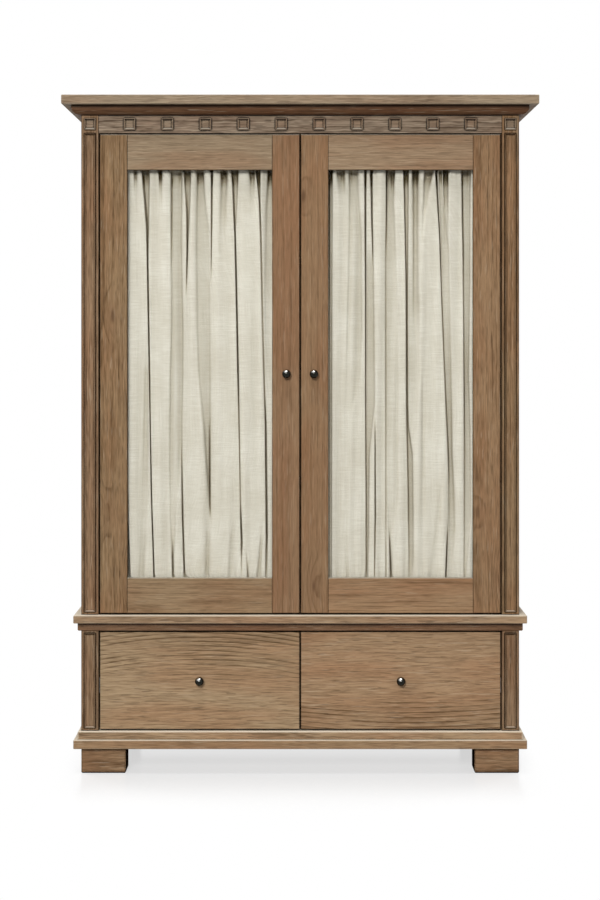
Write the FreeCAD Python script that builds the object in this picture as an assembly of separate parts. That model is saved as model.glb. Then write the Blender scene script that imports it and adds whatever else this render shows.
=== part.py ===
import FreeCAD
import Part
import math
import os

# A free-standing oak cabinet: two glazed doors with gathered linen curtains stand over two drawers.
# Lengths are in millimetres. X runs to the viewer's right, Y to the back and Z up.
# The origin is on the floor, under the middle of the whole box. The front faces -Y.

V = FreeCAD.Vector

# Case
case_width = 1340.0
case_depth = 550.0
side_thickness = 18.0
back_thickness = 8.0
back_rebate = 9.0
post_width = 53.0
face_thickness = 22.0  # posts, frieze rail, doors and drawer fronts
ceiling_thickness = 18.0
front_gap = 4.0  # round each door and drawer front

# Heights of the storeys, from the floor up
foot_height = 78.0
base_board_thickness = 27.0
base_frame_height = 25.0
drawer_bay_height = 307.0
waist_frame_height = 24.0
waist_board_thickness = 24.0
door_bay_height = 1473.0
frieze_height = 56.0
crown_height = 28.0
cornice_board_thickness = 28.0

# Overhangs past the case
cornice_overhang = 55.0
crown_overhang = 28.0
board_overhang = 22.0
frame_overhang = 10.0

# Edges
board_edge = 1.6
joint_edge = 0.7
front_edge = 1.2
foot_edge = 3.0

# Crown moulding, a quarter round under a narrow flat
crown_flat = 5.0
crown_soffit = 6.0

# Frames under the waist board and on the base board
frame_rail_width = 70.0
frame_nose = 3.0

# Raised borders on the posts and the square rosettes on the frieze
border_width = 35.0
border_crest = 2.0
border_slope = 4.0
border_height = 4.0
border_end_margin = 8.0
rosette_size = 35.0
rosette_thickness = 5.0
rosette_recess = 4.0
rosette_count = 10
rosette_end_margin = 95.0

# Feet
foot_width = 136.0
foot_depth = 96.0

# Shelves and the cleats that they lie on
shelf_thickness = 22.0
shelf_setback = 60.0
shelf_gap = 1.5
shelf_lower_rise = 355.0
shelf_middle_rise = 725.0
shelf_upper_rise = 1095.0
cleat_width = 20.0
cleat_height = 28.0
cleat_setback = 30.0
cleat_edge = 3.0

# Door frames, glass and beads
stile_width = 84.0
rail_height = 108.0
tenon_length = 32.0
tenon_thickness = 7.0
tenon_shoulder = 16.0
glass_lip = 10.0
glass_thickness = 4.0
glass_fit = 1.0
rebate_width = 8.0
bead_edge = 2.5

# Pivot hinges: a pin on the door turns in a bush in the case
pivot_inset = 30.0
pivot_pin_radius = 3.0
pivot_running = 0.06
pivot_end_gap = 0.3
pivot_plate_before = 14.0
pivot_plate_after = 34.0
pivot_plate_width = 14.0
pivot_plate_thickness = 2.5
bush_radius = 6.0
bush_fit = 0.04
bush_length = 16.0

# Magnetic catches under the ceiling and the strikes on the doors
catch_length = 42.0
catch_depth = 15.0
catch_height = 17.0
catch_from_middle = 16.0
strike_thickness = 1.5
strike_height = 10.0
strike_inset = 2.0
strike_end = 4.0
catch_gap = 0.5

# Ball knobs, turned about an axis that runs to the front
knob_radius = 13.5
knob_reach = 31.0
knob_foot_radius = 7.5
knob_neck_radius = 4.5
knob_screw_radius = 2.0
knob_screw_fit = 0.25
knob_screw_bite = 10.0
screw_head_radius = 4.0
screw_head_height = 2.8
screw_head_sides = 6
door_knob_height = 1222.0
door_knob_inset = 40.0

# Curtain rods and the brackets behind each door
rod_radius = 4.0
rod_setback = 16.0
rod_beyond_opening = 22.0
rod_end_reach = 20.0
bracket_width = 12.0
bracket_height = 20.0
bracket_wall = 3.0
bracket_fit = 0.1

# Curtains, gathered on both rods
cloth_thickness = 1.6
cloth_rod_gap = 0.4
cloth_pocket_height = 24.0
cloth_end_gap = 1.0
cloth_fold_count = 8
cloth_fold_angle = math.radians(60)
cloth_uneven_share = 0.34
cloth_drift_share = 0.2

# Drawer boxes
box_wall = 13.0
box_floor_gap = 15.0
box_head_gap = 54.0
box_rear_room = 60.0
box_bottom_thickness = 6.0
box_bottom_rise = 12.0
box_groove = 6.0
tail_count = 4
tail_end_margin = 9.0
tail_gap = 12.0
tail_slope = 2.5
divider_thickness = 22.0
divider_gap = 0.5

# Three-part drawer runners
runner_thickness = 12.7
runner_height = 45.0
runner_sheet = 1.3
runner_running = 0.4
runner_lip_gap = 1.5
runner_end_gap = 5.0
batten_height = 62.0

# One overrun for all cuts
overrun = 2.0

# Derived places
half_case = case_width / 2
total_depth = case_depth + cornice_overhang
back_y = total_depth / 2
front_y = back_y - case_depth
behind_front_y = front_y + face_thickness
inner_back_y = back_y - back_thickness
inner_side_x = half_case - side_thickness
bay_half = half_case - post_width

base_z = foot_height
base_top_z = base_z + base_board_thickness
drawer_bay_z = base_top_z + base_frame_height
drawer_bay_top_z = drawer_bay_z + drawer_bay_height
waist_z = drawer_bay_top_z + waist_frame_height
door_bay_z = waist_z + waist_board_thickness
door_bay_top_z = door_bay_z + door_bay_height
crown_z = door_bay_top_z + frieze_height
cornice_z = crown_z + crown_height

outer_x = front_gap - bay_half  # the left door's hinge edge
middle_x = -front_gap / 2

door_z = door_bay_z + front_gap
door_top_z = door_bay_top_z - front_gap
opening_x0 = outer_x + stile_width
opening_x1 = middle_x - stile_width
opening_z0 = door_z + rail_height
opening_z1 = door_top_z - rail_height
glass_y = front_y + glass_lip
bead_y = glass_y + glass_thickness
pivot_x = outer_x + pivot_inset
pivot_y = front_y + face_thickness / 2

drawer_z = drawer_bay_z + front_gap
drawer_top_z = drawer_bay_top_z - front_gap
box_z = drawer_z + box_floor_gap
box_top_z = drawer_top_z - box_head_gap
box_back_y = inner_back_y - box_rear_room
runner_z = (box_z + box_top_z) / 2
runner_y0 = behind_front_y + runner_end_gap
runner_y1 = box_back_y - runner_end_gap

rod_y = behind_front_y + rod_setback
rod_top_z = opening_z1 + rod_beyond_opening
rod_bottom_z = opening_z0 - rod_beyond_opening


# Shapes


def block(x0, y0, z0, x1, y1, z1, edge=0.0):
    """A board between two corners, with all its edges eased by a small flat."""
    shape = Part.makeBox(x1 - x0, y1 - y0, z1 - z0, V(x0, y0, z0))
    return shape.makeChamfer(edge, shape.Edges) if edge else shape


def rod(x0, y0, z0, along, radius, length):
    return Part.makeCylinder(radius, length, V(x0, y0, z0), along)


def prism(points, along):
    """A closed outline of points, extruded."""
    return Part.Face(Part.makePolygon(points + points[:1])).extrude(along)


def mirrored(shape):
    """The same piece on the other side of the cabinet."""
    return shape.mirror(V(0, 0, 0), V(1, 0, 0))


def nearest_edge(shape, point):
    return min(shape.Edges, key=lambda edge: edge.CenterOfMass.distanceToPoint(point))


def group(shapes):
    return Part.makeCompound(shapes)


def both(shape):
    """A piece and its mirror image, as two solids."""
    return group([shape, mirrored(shape)])


def export(node, shape):
    shape.exportStep(os.path.join("parts", node + ".step"))


def mitred_runs(outline, overhang, inner):
    """A moulding round the front and both sides, mitred at the front corners.

    outline gives the section's face for a function that places (distance past the case, height).
    The section reaches from inner, behind the case's face, to overhang in front of it.
    """
    out_x = half_case + overhang
    in_x = half_case - inner
    out_y = front_y - overhang
    in_y = front_y + inner
    height = V(0, 0, cornice_z)
    front_face = outline(lambda past, z: V(-out_x, front_y - past, z))
    side_face = outline(lambda past, z: V(-half_case - past, out_y, z))
    front_plan = [V(-out_x, out_y, 0), V(out_x, out_y, 0), V(in_x, in_y, 0), V(-in_x, in_y, 0)]
    side_plan = [V(-out_x, out_y, 0), V(-in_x, in_y, 0), V(-in_x, back_y, 0), V(-out_x, back_y, 0)]
    front = front_face.extrude(V(2 * out_x, 0, 0)).common(prism(front_plan, height))
    side = side_face.extrude(V(0, back_y - out_y, 0)).common(prism(side_plan, height))
    return [front.Solids[0], side.Solids[0], mirrored(side.Solids[0])]


# Cornice


def cornice_board():
    """The top board, flush with the case at the back."""
    out = half_case + cornice_overhang
    top = cornice_z + cornice_board_thickness
    return block(-out, front_y - cornice_overhang, cornice_z, out, back_y, top, board_edge)


def cornice_moulding():
    """A quarter-round moulding under the top board, in three mitred lengths."""

    def outline(place):
        flat_z = cornice_z - crown_flat
        bend = math.sin(math.radians(45))
        across = crown_overhang - crown_soffit
        down = crown_height - crown_flat
        corner = [
            place(crown_overhang, flat_z),
            place(crown_soffit + across * bend, crown_z + down * (1 - bend)),
            place(crown_soffit, crown_z),
        ]
        lines = [
            place(crown_soffit, crown_z),
            place(0, crown_z),
            place(0, cornice_z),
            place(crown_overhang, cornice_z),
            place(crown_overhang, flat_z),
        ]
        edges = [Part.LineSegment(a, b).toShape() for a, b in zip(lines, lines[1:])]
        edges.append(Part.Arc(*corner).toShape())
        return Part.Face(Part.Wire(Part.__sortEdges__(edges)))

    return group(mitred_runs(outline, crown_overhang, 0))


# Frieze with its rosettes


def frieze_rail():
    """The rail over the doors. The upper pivot bushes are let into its underside."""
    rail = block(-bay_half, front_y, door_bay_top_z, bay_half, behind_front_y, cornice_z, joint_edge)
    hole = rod(pivot_x, pivot_y, door_bay_top_z, V(0, 0, 1), bush_radius, bush_length)
    return rail.cut(both(hole))


def sunk_square(x, z, size_x, size_z, base, depth):
    """A cutter whose sides slope in from a border's crest to its floor."""
    wide_x = size_x / 2 - border_crest
    wide_z = size_z / 2 - border_crest
    front = front_y - base

    def ring(y, inset):
        dx = wide_x - inset
        dz = wide_z - inset
        corners = [V(x - dx, y, z - dz), V(x + dx, y, z - dz), V(x + dx, y, z + dz), V(x - dx, y, z + dz)]
        return Part.makePolygon(corners + corners[:1])

    return Part.makeLoft([ring(front, 0), ring(front + depth, border_slope)], True, True)


def rosette(x):
    """A square tile with a sunk middle, planted on the frieze or on a post."""
    z = (door_bay_top_z + crown_z) / 2
    half = rosette_size / 2
    tile = block(x - half, front_y - rosette_thickness, z - half, x + half, front_y, z + half)
    return tile.cut(sunk_square(x, z, rosette_size, rosette_size, rosette_thickness, rosette_recess))


def square_rosettes():
    reach = bay_half - rosette_end_margin
    pitch = 2 * reach / (rosette_count - 1)
    places = [-reach + i * pitch for i in range(rosette_count)]
    post = half_case - post_width / 2
    return group([rosette(x) for x in [-post] + places + [post]])


# Posts, with a raised border down the front


def post(z0, z1, border_z0, border_z1):
    """The left post. It has square edges where it meets the boards, and a border worked on its face."""
    x = post_width / 2 - half_case
    z = (border_z0 + border_z1) / 2
    length = border_z1 - border_z0
    half = border_width / 2
    blank = block(-half_case, front_y, z0, -bay_half, behind_front_y, z1, joint_edge)
    border = block(x - half, front_y - border_height, border_z0, x + half, front_y, border_z1)
    hollow = sunk_square(x, z, border_width, length, border_height, border_height)
    return blank.fuse(border.cut(hollow)).removeSplitter()


def upper_post():
    return post(door_bay_z, cornice_z, door_bay_z + border_end_margin, door_bay_top_z)


def lower_post():
    ends = (drawer_bay_z + border_end_margin, drawer_bay_top_z - border_end_margin)
    return post(drawer_bay_z, drawer_bay_top_z, *ends)


# Sides, backs and ceiling


def side_blank(z0, z1):
    """The left side panel, rebated at the back for the back panel."""
    panel = block(-half_case, behind_front_y, z0, -inner_side_x, back_y, z1, joint_edge)
    x0 = -inner_side_x - back_rebate
    x1 = overrun - inner_side_x
    return panel.cut(block(x0, inner_back_y, z0 - overrun, x1, back_y + overrun, z1 + overrun))


def upper_side():
    return side_blank(door_bay_z, cornice_z)


def lower_side():
    return side_blank(drawer_bay_z, drawer_bay_top_z)


def back_panel(z0, z1):
    half = inner_side_x + back_rebate
    return block(-half, inner_back_y, z0, half, back_y, z1)


def ceiling_panel():
    """The board over the upper compartment, behind the frieze."""
    top = door_bay_top_z + ceiling_thickness
    return block(-inner_side_x, behind_front_y, door_bay_top_z, inner_side_x, inner_back_y, top)


# Shelves


def shelf(rise):
    half = inner_side_x - shelf_gap
    y0 = behind_front_y + shelf_setback
    z = door_bay_z + rise
    return block(-half, y0, z, half, inner_back_y - shelf_gap, z + shelf_thickness, front_edge)


def cleat(rise):
    """An oak strip on the left side under a shelf, with its lower inner edge taken off."""
    z = door_bay_z + rise
    y0 = behind_front_y + shelf_setback + cleat_setback
    x1 = cleat_width - inner_side_x
    strip = block(-inner_side_x, y0, z - cleat_height, x1, inner_back_y - cleat_setback, z)
    edge = V(x1, (y0 + inner_back_y - cleat_setback) / 2, z - cleat_height)
    return strip.makeChamfer(cleat_edge, [nearest_edge(strip, edge)])


def shelf_cleats():
    cleats = [cleat(rise) for rise in (shelf_lower_rise, shelf_middle_rise, shelf_upper_rise)]
    return both(group(cleats))


# Waist and base


def full_board(z0, thickness):
    out = half_case + board_overhang
    return block(-out, front_y - board_overhang, z0, out, back_y, z0 + thickness, board_edge)


def waist_board():
    """The board between the storeys, and the floor of the upper compartment."""
    hole = rod(pivot_x, pivot_y, door_bay_z, V(0, 0, -1), bush_radius, bush_length)
    return full_board(waist_z, waist_board_thickness).cut(both(hole))


def stepped_frame(z0, z1, nose_up):
    """Four rails that step out past the case, with one outer edge rounded off by a flat."""
    inner = frame_rail_width - frame_overhang
    nose_z = z1 if nose_up else z0
    turn = -frame_nose if nose_up else frame_nose
    far_z = z0 if nose_up else z1

    def outline(place):
        points = [
            place(-inner, far_z),
            place(frame_overhang, far_z),
            place(frame_overhang, nose_z + turn),
            place(frame_overhang - frame_nose, nose_z),
            place(-inner, nose_z),
        ]
        return Part.Face(Part.makePolygon(points + points[:1]))

    rails = mitred_runs(outline, frame_overhang, inner)
    half = half_case - inner
    rails.append(block(-half, back_y - frame_rail_width, z0, half, back_y, z1))
    return group(rails)


def foot(x, y):
    low = block(x, y, 0, x + foot_width, y + foot_depth, foot_height)
    lower_edges = [e for e in low.Edges if e.CenterOfMass.z < foot_height]
    return low.makeChamfer(foot_edge, lower_edges)


def feet():
    """A block under each corner."""
    front = foot(-half_case, front_y)
    rear = foot(-half_case, back_y - foot_depth)
    return group([front, mirrored(front), rear, mirrored(rear)])


# Lower case interior


def drawer_divider():
    half = divider_thickness / 2
    y0 = behind_front_y + divider_gap
    return block(-half, y0, drawer_bay_z, half, inner_back_y, drawer_bay_top_z)


def runner_battens():
    """Packing between each side and its runner, flush with the post."""
    half = batten_height / 2
    ends = (behind_front_y, inner_back_y)
    return both(block(-inner_side_x, ends[0], runner_z - half, -bay_half, ends[1], runner_z + half))


# Drawer runners: three channels, one inside the other


def channel(x, facing, web, depth, half_height):
    """A C-shaped channel. Its web starts at x and its lips reach along facing, which is 1 or -1."""
    y0 = runner_y0
    y1 = runner_y1
    a, b = sorted((x, x + facing * depth))
    outer = block(a, y0, runner_z - half_height, b, y1, runner_z + half_height)
    c, d = sorted((x + facing * web, x + facing * (depth + overrun)))
    inside = half_height - runner_sheet
    hollow = block(c, y0 - overrun, runner_z - inside, d, y1 + overrun, runner_z + inside)
    return outer.cut(hollow)


def runner_set(x, facing):
    """The channels of one runner, from the fixed one at x to the one on the drawer."""
    step = runner_sheet + runner_running
    half = runner_height / 2
    reach = runner_thickness - runner_sheet - runner_lip_gap
    fixed = channel(x, facing, runner_sheet, reach, half)
    middle = channel(x + facing * step, facing, runner_sheet, reach, half - step)
    far = x + facing * runner_thickness
    moving_reach = runner_thickness - 2 * step - runner_lip_gap
    moving = channel(far, -facing, runner_sheet, moving_reach, half - 2 * step)
    return fixed, middle, moving


def left_runners():
    """Both runners of the left drawer, as fixed, middle and moving pairs."""
    outer = runner_set(-bay_half, 1)
    inner = runner_set(-divider_thickness / 2, -1)
    return [list(pair) for pair in zip(outer, inner)]


# Drawers


def knob(x, z, back):
    """A ball on a short tapered neck, and the hexagon screw that holds it from behind, at y = back."""

    def at(radius, out):
        return V(x + radius, front_y - out, z)

    def corner(i):
        turn = math.tau * i / screw_head_sides
        return V(x + screw_head_radius * math.cos(turn), back, z + screw_head_radius * math.sin(turn))

    middle = knob_reach - knob_radius
    neck_end = middle - math.sqrt(knob_radius**2 - knob_neck_radius**2)
    corners = [
        at(0, knob_reach),
        at(0, 0),
        at(knob_foot_radius, 0),
        at(knob_neck_radius, neck_end),
    ]
    edges = [Part.LineSegment(a, b).toShape() for a, b in zip(corners, corners[1:])]
    edges.append(Part.Arc(corners[-1], at(knob_radius, middle), corners[0]).toShape())
    turned = Part.Face(Part.Wire(edges)).revolve(V(x, front_y, z), V(0, 1, 0), 360)
    shank = rod(x, back, z, V(0, -1, 0), knob_screw_radius, back - front_y + knob_screw_bite)
    head = prism([corner(i) for i in range(screw_head_sides)], V(0, screw_head_height, 0))
    return [turned.cut(shank), shank.fuse(head)]


def knob_hole(x, z, back):
    start = front_y - overrun
    return rod(x, start, z, V(0, 1, 0), knob_screw_radius + knob_screw_fit, back + overrun - start)


def drawer_limits():
    """The outer faces of the left drawer box."""
    return runner_thickness - bay_half, -divider_thickness / 2 - runner_thickness


def box_bottom_board():
    x0, x1 = drawer_limits()
    in_wall = box_wall - box_groove
    low = box_z + box_bottom_rise
    y0 = behind_front_y + in_wall
    y1 = box_back_y - in_wall
    return block(x0 + in_wall, y0, low, x1 - in_wall, y1, low + box_bottom_thickness)


def dovetails(x0, end_y, shoulder_y):
    """The tails at one end of a drawer side. They widen from the shoulder to the end."""
    rise = box_top_z - box_z - 2 * tail_end_margin
    pitch = (rise + tail_gap) / tail_count
    tails = []
    for i in range(tail_count):
        low = box_z + tail_end_margin + i * pitch
        high = low + pitch - tail_gap
        points = [
            V(x0, shoulder_y, low + tail_slope),
            V(x0, end_y, low),
            V(x0, end_y, high),
            V(x0, shoulder_y, high - tail_slope),
        ]
        tails.append(prism(points, V(box_wall, 0, 0)))
    return tails


def drawer_walls(bottom):
    """Sides with through dovetails, and the front and back walls that they pass into."""
    x0, x1 = drawer_limits()
    front_end = behind_front_y
    front_shoulder = front_end + box_wall
    back_shoulder = box_back_y - box_wall
    sides = []
    all_tails = []
    for side_x in (x0, x1 - box_wall):
        tails = dovetails(side_x, front_end, front_shoulder) + dovetails(side_x, box_back_y, back_shoulder)
        side = block(side_x, front_shoulder, box_z, side_x + box_wall, back_shoulder, box_top_z)
        sides.append(side.fuse(tails).removeSplitter().cut(bottom))
        all_tails += tails
    front = block(x0, front_end, box_z, x1, front_shoulder, box_top_z)
    back = block(x0, back_shoulder, box_z, x1, box_back_y, box_top_z)
    cuts = group(all_tails + [bottom])
    return sides, front.cut(cuts), back.cut(cuts)


def left_drawer():
    """The left drawer's pieces by name: a dovetailed box with the oak front screwed on."""
    bottom = box_bottom_board()
    sides, inner_front, back = drawer_walls(bottom)
    screw_y = behind_front_y + box_wall
    knob_x = (outer_x + middle_x) / 2
    knob_z = (drawer_z + drawer_top_z) / 2
    hole = knob_hole(knob_x, knob_z, screw_y)
    front = block(outer_x, front_y, drawer_z, middle_x, behind_front_y, drawer_top_z, front_edge)
    return {
        "drawer_front": front.cut(hole),
        "drawer_sides": group(sides),
        "drawer_ends": group([inner_front.cut(hole), back]),
        "drawer_bottom": bottom,
        "drawer_hardware": group(left_runners()[2] + knob(knob_x, knob_z, screw_y)),
    }


# Doors


def mortise_and_tenon(z0):
    """Both tenons of a rail whose lower edge is at z0. The mortises have the same shape."""
    y0 = front_y + (face_thickness - tenon_thickness) / 2
    y1 = y0 + tenon_thickness
    low = z0 + tenon_shoulder
    high = z0 + rail_height - tenon_shoulder
    left = block(opening_x0 - tenon_length, y0, low, opening_x0, y1, high)
    right = block(opening_x1, y0, low, opening_x1 + tenon_length, y1, high)
    return [left, right]


def glass_rebate():
    """The room for glass and beads, open at the back of the door."""
    x0 = opening_x0 - rebate_width
    x1 = opening_x1 + rebate_width
    z0 = opening_z0 - rebate_width
    z1 = opening_z1 + rebate_width
    return block(x0, glass_y, z0, x1, behind_front_y + overrun, z1)


def pivot_plate(edge_z, into):
    """A plate let into the end of the hinge stile. into is the direction of the door, 1 or -1."""
    half = pivot_plate_width / 2
    a, b = sorted((edge_z, edge_z + into * pivot_plate_thickness))
    x0 = pivot_x - pivot_plate_before
    return block(x0, pivot_y - half, a, pivot_x + pivot_plate_after, pivot_y + half, b)


def pivot(edge_z, into):
    """Plate and pin in one piece. The pin reaches nearly to the end of its bush."""
    length = front_gap + bush_length - pivot_end_gap
    pin = rod(pivot_x, pivot_y, edge_z, V(0, 0, -into), pivot_pin_radius, length)
    return pivot_plate(edge_z, into).fuse(pin).removeSplitter()


def pivot_bushes():
    """Plain bushes in the frieze rail and in the waist board."""
    bushes = []
    for z, along in ((door_bay_top_z, V(0, 0, 1)), (door_bay_z, V(0, 0, -1))):
        outer = rod(pivot_x, pivot_y, z, along, bush_radius - bush_fit, bush_length)
        bore = rod(pivot_x, pivot_y, z, along, pivot_pin_radius + pivot_running, bush_length)
        bushes.append(outer.cut(bore))
    return group(bushes + [mirrored(bush) for bush in bushes])


def catch_x():
    """The ends of the left catch, beside the middle of the case."""
    return -catch_from_middle - catch_length, -catch_from_middle


def strike():
    """The steel plate on the back of the meeting stile that the magnet holds."""
    x0, x1 = catch_x()
    z1 = door_top_z - strike_inset
    y1 = behind_front_y + strike_thickness
    return block(x0 + strike_end, behind_front_y, z1 - strike_height, x1 - strike_end, y1, z1)


def magnet_catches():
    x0, x1 = catch_x()
    y0 = behind_front_y + strike_thickness + catch_gap
    low = door_bay_top_z - catch_height
    return both(block(x0, y0, low, x1, y0 + catch_depth, door_bay_top_z, joint_edge))


def glazing_beads():
    """Four strips that hold the glass, each with the edge beside the opening taken off."""
    x0 = opening_x0 - rebate_width
    x1 = opening_x1 + rebate_width
    z0 = opening_z0 - rebate_width
    z1 = opening_z1 + rebate_width

    def strip(xa, za, xb, zb, edge_x, edge_z):
        bar = block(xa, bead_y, za, xb, behind_front_y, zb)
        return bar.makeChamfer(bead_edge, [nearest_edge(bar, V(edge_x, behind_front_y, edge_z))])

    middle_z = (z0 + z1) / 2
    centre_x = (x0 + x1) / 2
    return group([
        strip(x0, z0, opening_x0, z1, opening_x0, middle_z),
        strip(opening_x1, z0, x1, z1, opening_x1, middle_z),
        strip(opening_x0, z0, opening_x1, opening_z0, centre_x, opening_z0),
        strip(opening_x0, opening_z1, opening_x1, z1, centre_x, opening_z1),
    ])


def door_glass():
    room = rebate_width - glass_fit
    x0 = opening_x0 - room
    x1 = opening_x1 + room
    return block(x0, glass_y, opening_z0 - room, x1, bead_y, opening_z1 + room)


def rod_ends():
    """Where the curtain rods of the left door start and end."""
    return opening_x0 - rod_end_reach, opening_x1 + rod_end_reach


def bracket(x, z):
    """A block on the back of the stile. The rod drops into its slot from above."""
    half = bracket_width / 2
    rise = bracket_height / 2
    y1 = rod_y + rod_radius + bracket_wall
    slot = rod_radius + bracket_fit
    start = x - half - overrun
    end = x + half + overrun
    seat = rod(start, rod_y, z, V(1, 0, 0), slot, end - start)
    mouth = block(start, rod_y - slot, z, end, rod_y + slot, z + rise + overrun)
    return block(x - half, behind_front_y, z - rise, x + half, y1, z + rise).cut([seat, mouth])


def curtain_rods():
    """Two rods and the four brackets that carry them."""
    x0, x1 = rod_ends()
    solids = []
    for z in (rod_bottom_z, rod_top_z):
        solids.append(rod(x0, rod_y, z, V(1, 0, 0), rod_radius, x1 - x0))
        solids.extend(bracket(x, z) for x in (x0 + bracket_width / 2, x1 - bracket_width / 2))
    return group(solids)


def fold_section(x0, x1, z, phase, drift):
    """A closed outline of the cloth at height z: uneven waves of arcs that run into each other smoothly."""
    count = 2 * cloth_fold_count
    uneven = [cloth_uneven_share * math.sin(phase + math.tau * i * cloth_uneven_share) for i in range(count)]
    moved = [cloth_drift_share * math.sin(drift + i) for i in range(count)]
    widths = [1 + a + b for a, b in zip(uneven, moved)]
    scale = (x1 - x0) / sum(widths)
    front = []
    rear = []
    x = x0
    for i, width in enumerate(widths):
        chord = width * scale
        side = 1 if i % 2 else -1  # the arc bulges to the back or to the front
        radius = chord / (2 * math.sin(cloth_fold_angle))
        centre = V(x + chord / 2, rod_y - side * radius * math.cos(cloth_fold_angle), z)
        for wire, offset in ((front, -side), (rear, side)):
            r = radius + offset * cloth_thickness / 2
            turns = (-cloth_fold_angle, 0, cloth_fold_angle)
            points = [centre + V(r * math.sin(turn), side * r * math.cos(turn), 0) for turn in turns]
            wire.append(Part.Arc(*points).toShape())
        x += chord
    start = Part.LineSegment(rear[0].Vertexes[0].Point, front[0].Vertexes[0].Point).toShape()
    end = Part.LineSegment(front[-1].Vertexes[-1].Point, rear[-1].Vertexes[-1].Point).toShape()
    return Part.Wire(Part.__sortEdges__([start] + front + [end] + rear))


def curtain(phase):
    """Linen gathered on both rods: a sleeve round each rod, and the main folds between them."""
    x0 = rod_ends()[0] + bracket_width + cloth_end_gap
    x1 = rod_ends()[1] - bracket_width - cloth_end_gap
    half = cloth_pocket_height / 2
    slack = rod_radius + cloth_rod_gap
    reach = slack + cloth_thickness
    inside = half - cloth_thickness
    seams = (rod_bottom_z + half, rod_top_z - half)
    sections = [fold_section(x0, x1, z, phase, phase + i) for i, z in enumerate(seams)]
    cloth = Part.makeLoft(sections, True, True)
    for z in (rod_bottom_z, rod_top_z):
        sleeve = block(x0, rod_y - reach, z - half, x1, rod_y + reach, z + half)
        room = block(x0 - overrun, rod_y - slack, z - inside, x1 + overrun, rod_y + slack, z + inside)
        cloth = cloth.fuse(sleeve.cut(room))
    return cloth


def left_door():
    """The left door's pieces by name, curtain apart."""
    low_tenons = mortise_and_tenon(door_z)
    high_tenons = mortise_and_tenon(opening_z1)
    rebate = glass_rebate()
    plates = [pivot_plate(door_z, 1), pivot_plate(door_top_z, -1)]
    knob_x = middle_x - door_knob_inset
    fittings = [pivot(door_z, 1), pivot(door_top_z, -1), strike()]
    back = behind_front_y
    hinge = block(outer_x, front_y, door_z, opening_x0, back, door_top_z, front_edge)
    meeting = block(opening_x1, front_y, door_z, middle_x, back, door_top_z, front_edge)
    bottom = block(opening_x0, front_y, door_z, opening_x1, back, opening_z0, joint_edge)
    top = block(opening_x0, front_y, opening_z1, opening_x1, back, door_top_z, joint_edge)
    right_cuts = [low_tenons[1], high_tenons[1], knob_hole(knob_x, door_knob_height, back)]
    return {
        "door_hinge_stile": hinge.cut(group([rebate, low_tenons[0], high_tenons[0]] + plates)),
        "door_meeting_stile": meeting.cut(group([rebate] + right_cuts)),
        "door_bottom_rail": bottom.cut(rebate).fuse(low_tenons).removeSplitter(),
        "door_top_rail": top.cut(rebate).fuse(high_tenons).removeSplitter(),
        "door_glass": door_glass(),
        "door_beads": glazing_beads(),
        "door_hardware": group(fittings + knob(knob_x, door_knob_height, back)),
        "curtain_rods": curtain_rods(),
    }


# Assembly


def main():
    os.makedirs("parts", exist_ok=True)
    fixed_pair, middle_pair, _ = left_runners()
    case = {
        "cornice_board": cornice_board(),
        "cornice_moulding": cornice_moulding(),
        "frieze_rail": frieze_rail(),
        "square_rosettes": square_rosettes(),
        "ceiling_panel": ceiling_panel(),
        "upper_back_panel": back_panel(door_bay_z, cornice_z),
        "shelf_lower": shelf(shelf_lower_rise),
        "shelf_middle": shelf(shelf_middle_rise),
        "shelf_upper": shelf(shelf_upper_rise),
        "shelf_cleats": shelf_cleats(),
        "waist_board": waist_board(),
        "waist_frame": stepped_frame(drawer_bay_top_z, waist_z, False),
        "lower_back_panel": back_panel(drawer_bay_z, drawer_bay_top_z),
        "drawer_divider": drawer_divider(),
        "runner_battens": runner_battens(),
        "runner_fixed_channels": both(group(fixed_pair)),
        "base_frame": stepped_frame(base_top_z, drawer_bay_z, True),
        "base_board": full_board(base_z, base_board_thickness),
        "feet": feet(),
        "pivot_bushes": pivot_bushes(),
        "magnet_catches": magnet_catches(),
    }
    for node, shape in case.items():
        export(node, shape)

    paired = {
        "upper_post": upper_post(),
        "upper_side": upper_side(),
        "lower_post": lower_post(),
        "lower_side": lower_side(),
        "runner_middle_channels": group(middle_pair),
    }
    paired.update(left_door())
    paired.update(left_drawer())
    for node, shape in paired.items():
        export("left_" + node, shape)
        export("right_" + node, mirrored(shape))

    export("left_curtain", curtain(0.4))
    export("right_curtain", mirrored(curtain(2.2)))


main()
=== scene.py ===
import bmesh
import bpy
import math
import numpy as np
from mathutils import Matrix, Vector


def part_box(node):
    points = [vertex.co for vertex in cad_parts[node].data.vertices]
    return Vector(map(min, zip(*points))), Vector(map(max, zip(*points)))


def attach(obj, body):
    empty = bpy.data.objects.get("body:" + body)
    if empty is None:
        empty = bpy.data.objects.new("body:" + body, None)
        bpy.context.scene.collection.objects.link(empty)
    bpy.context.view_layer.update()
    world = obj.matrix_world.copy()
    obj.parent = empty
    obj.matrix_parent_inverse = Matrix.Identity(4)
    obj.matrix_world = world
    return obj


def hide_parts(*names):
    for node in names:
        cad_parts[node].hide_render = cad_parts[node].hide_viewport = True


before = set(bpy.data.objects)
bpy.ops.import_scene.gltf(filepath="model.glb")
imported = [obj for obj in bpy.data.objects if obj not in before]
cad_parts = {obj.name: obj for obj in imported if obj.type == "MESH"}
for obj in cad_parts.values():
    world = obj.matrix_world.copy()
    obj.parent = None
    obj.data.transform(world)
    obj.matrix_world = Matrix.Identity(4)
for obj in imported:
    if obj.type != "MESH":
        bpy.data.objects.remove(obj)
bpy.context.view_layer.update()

# The view. The photograph was taken square to the front from 5.8 m, with a level camera 1.36 m above the
# floor. The frame is shifted down, so that the cabinet stands in its middle.
MM = 0.001
case_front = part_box("left_drawer_front")[0].y
view_distance = 5800 * MM
eye_height = 1356 * MM
frame_height = 2754 * MM  # what the picture's height covers at the case front
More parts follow.
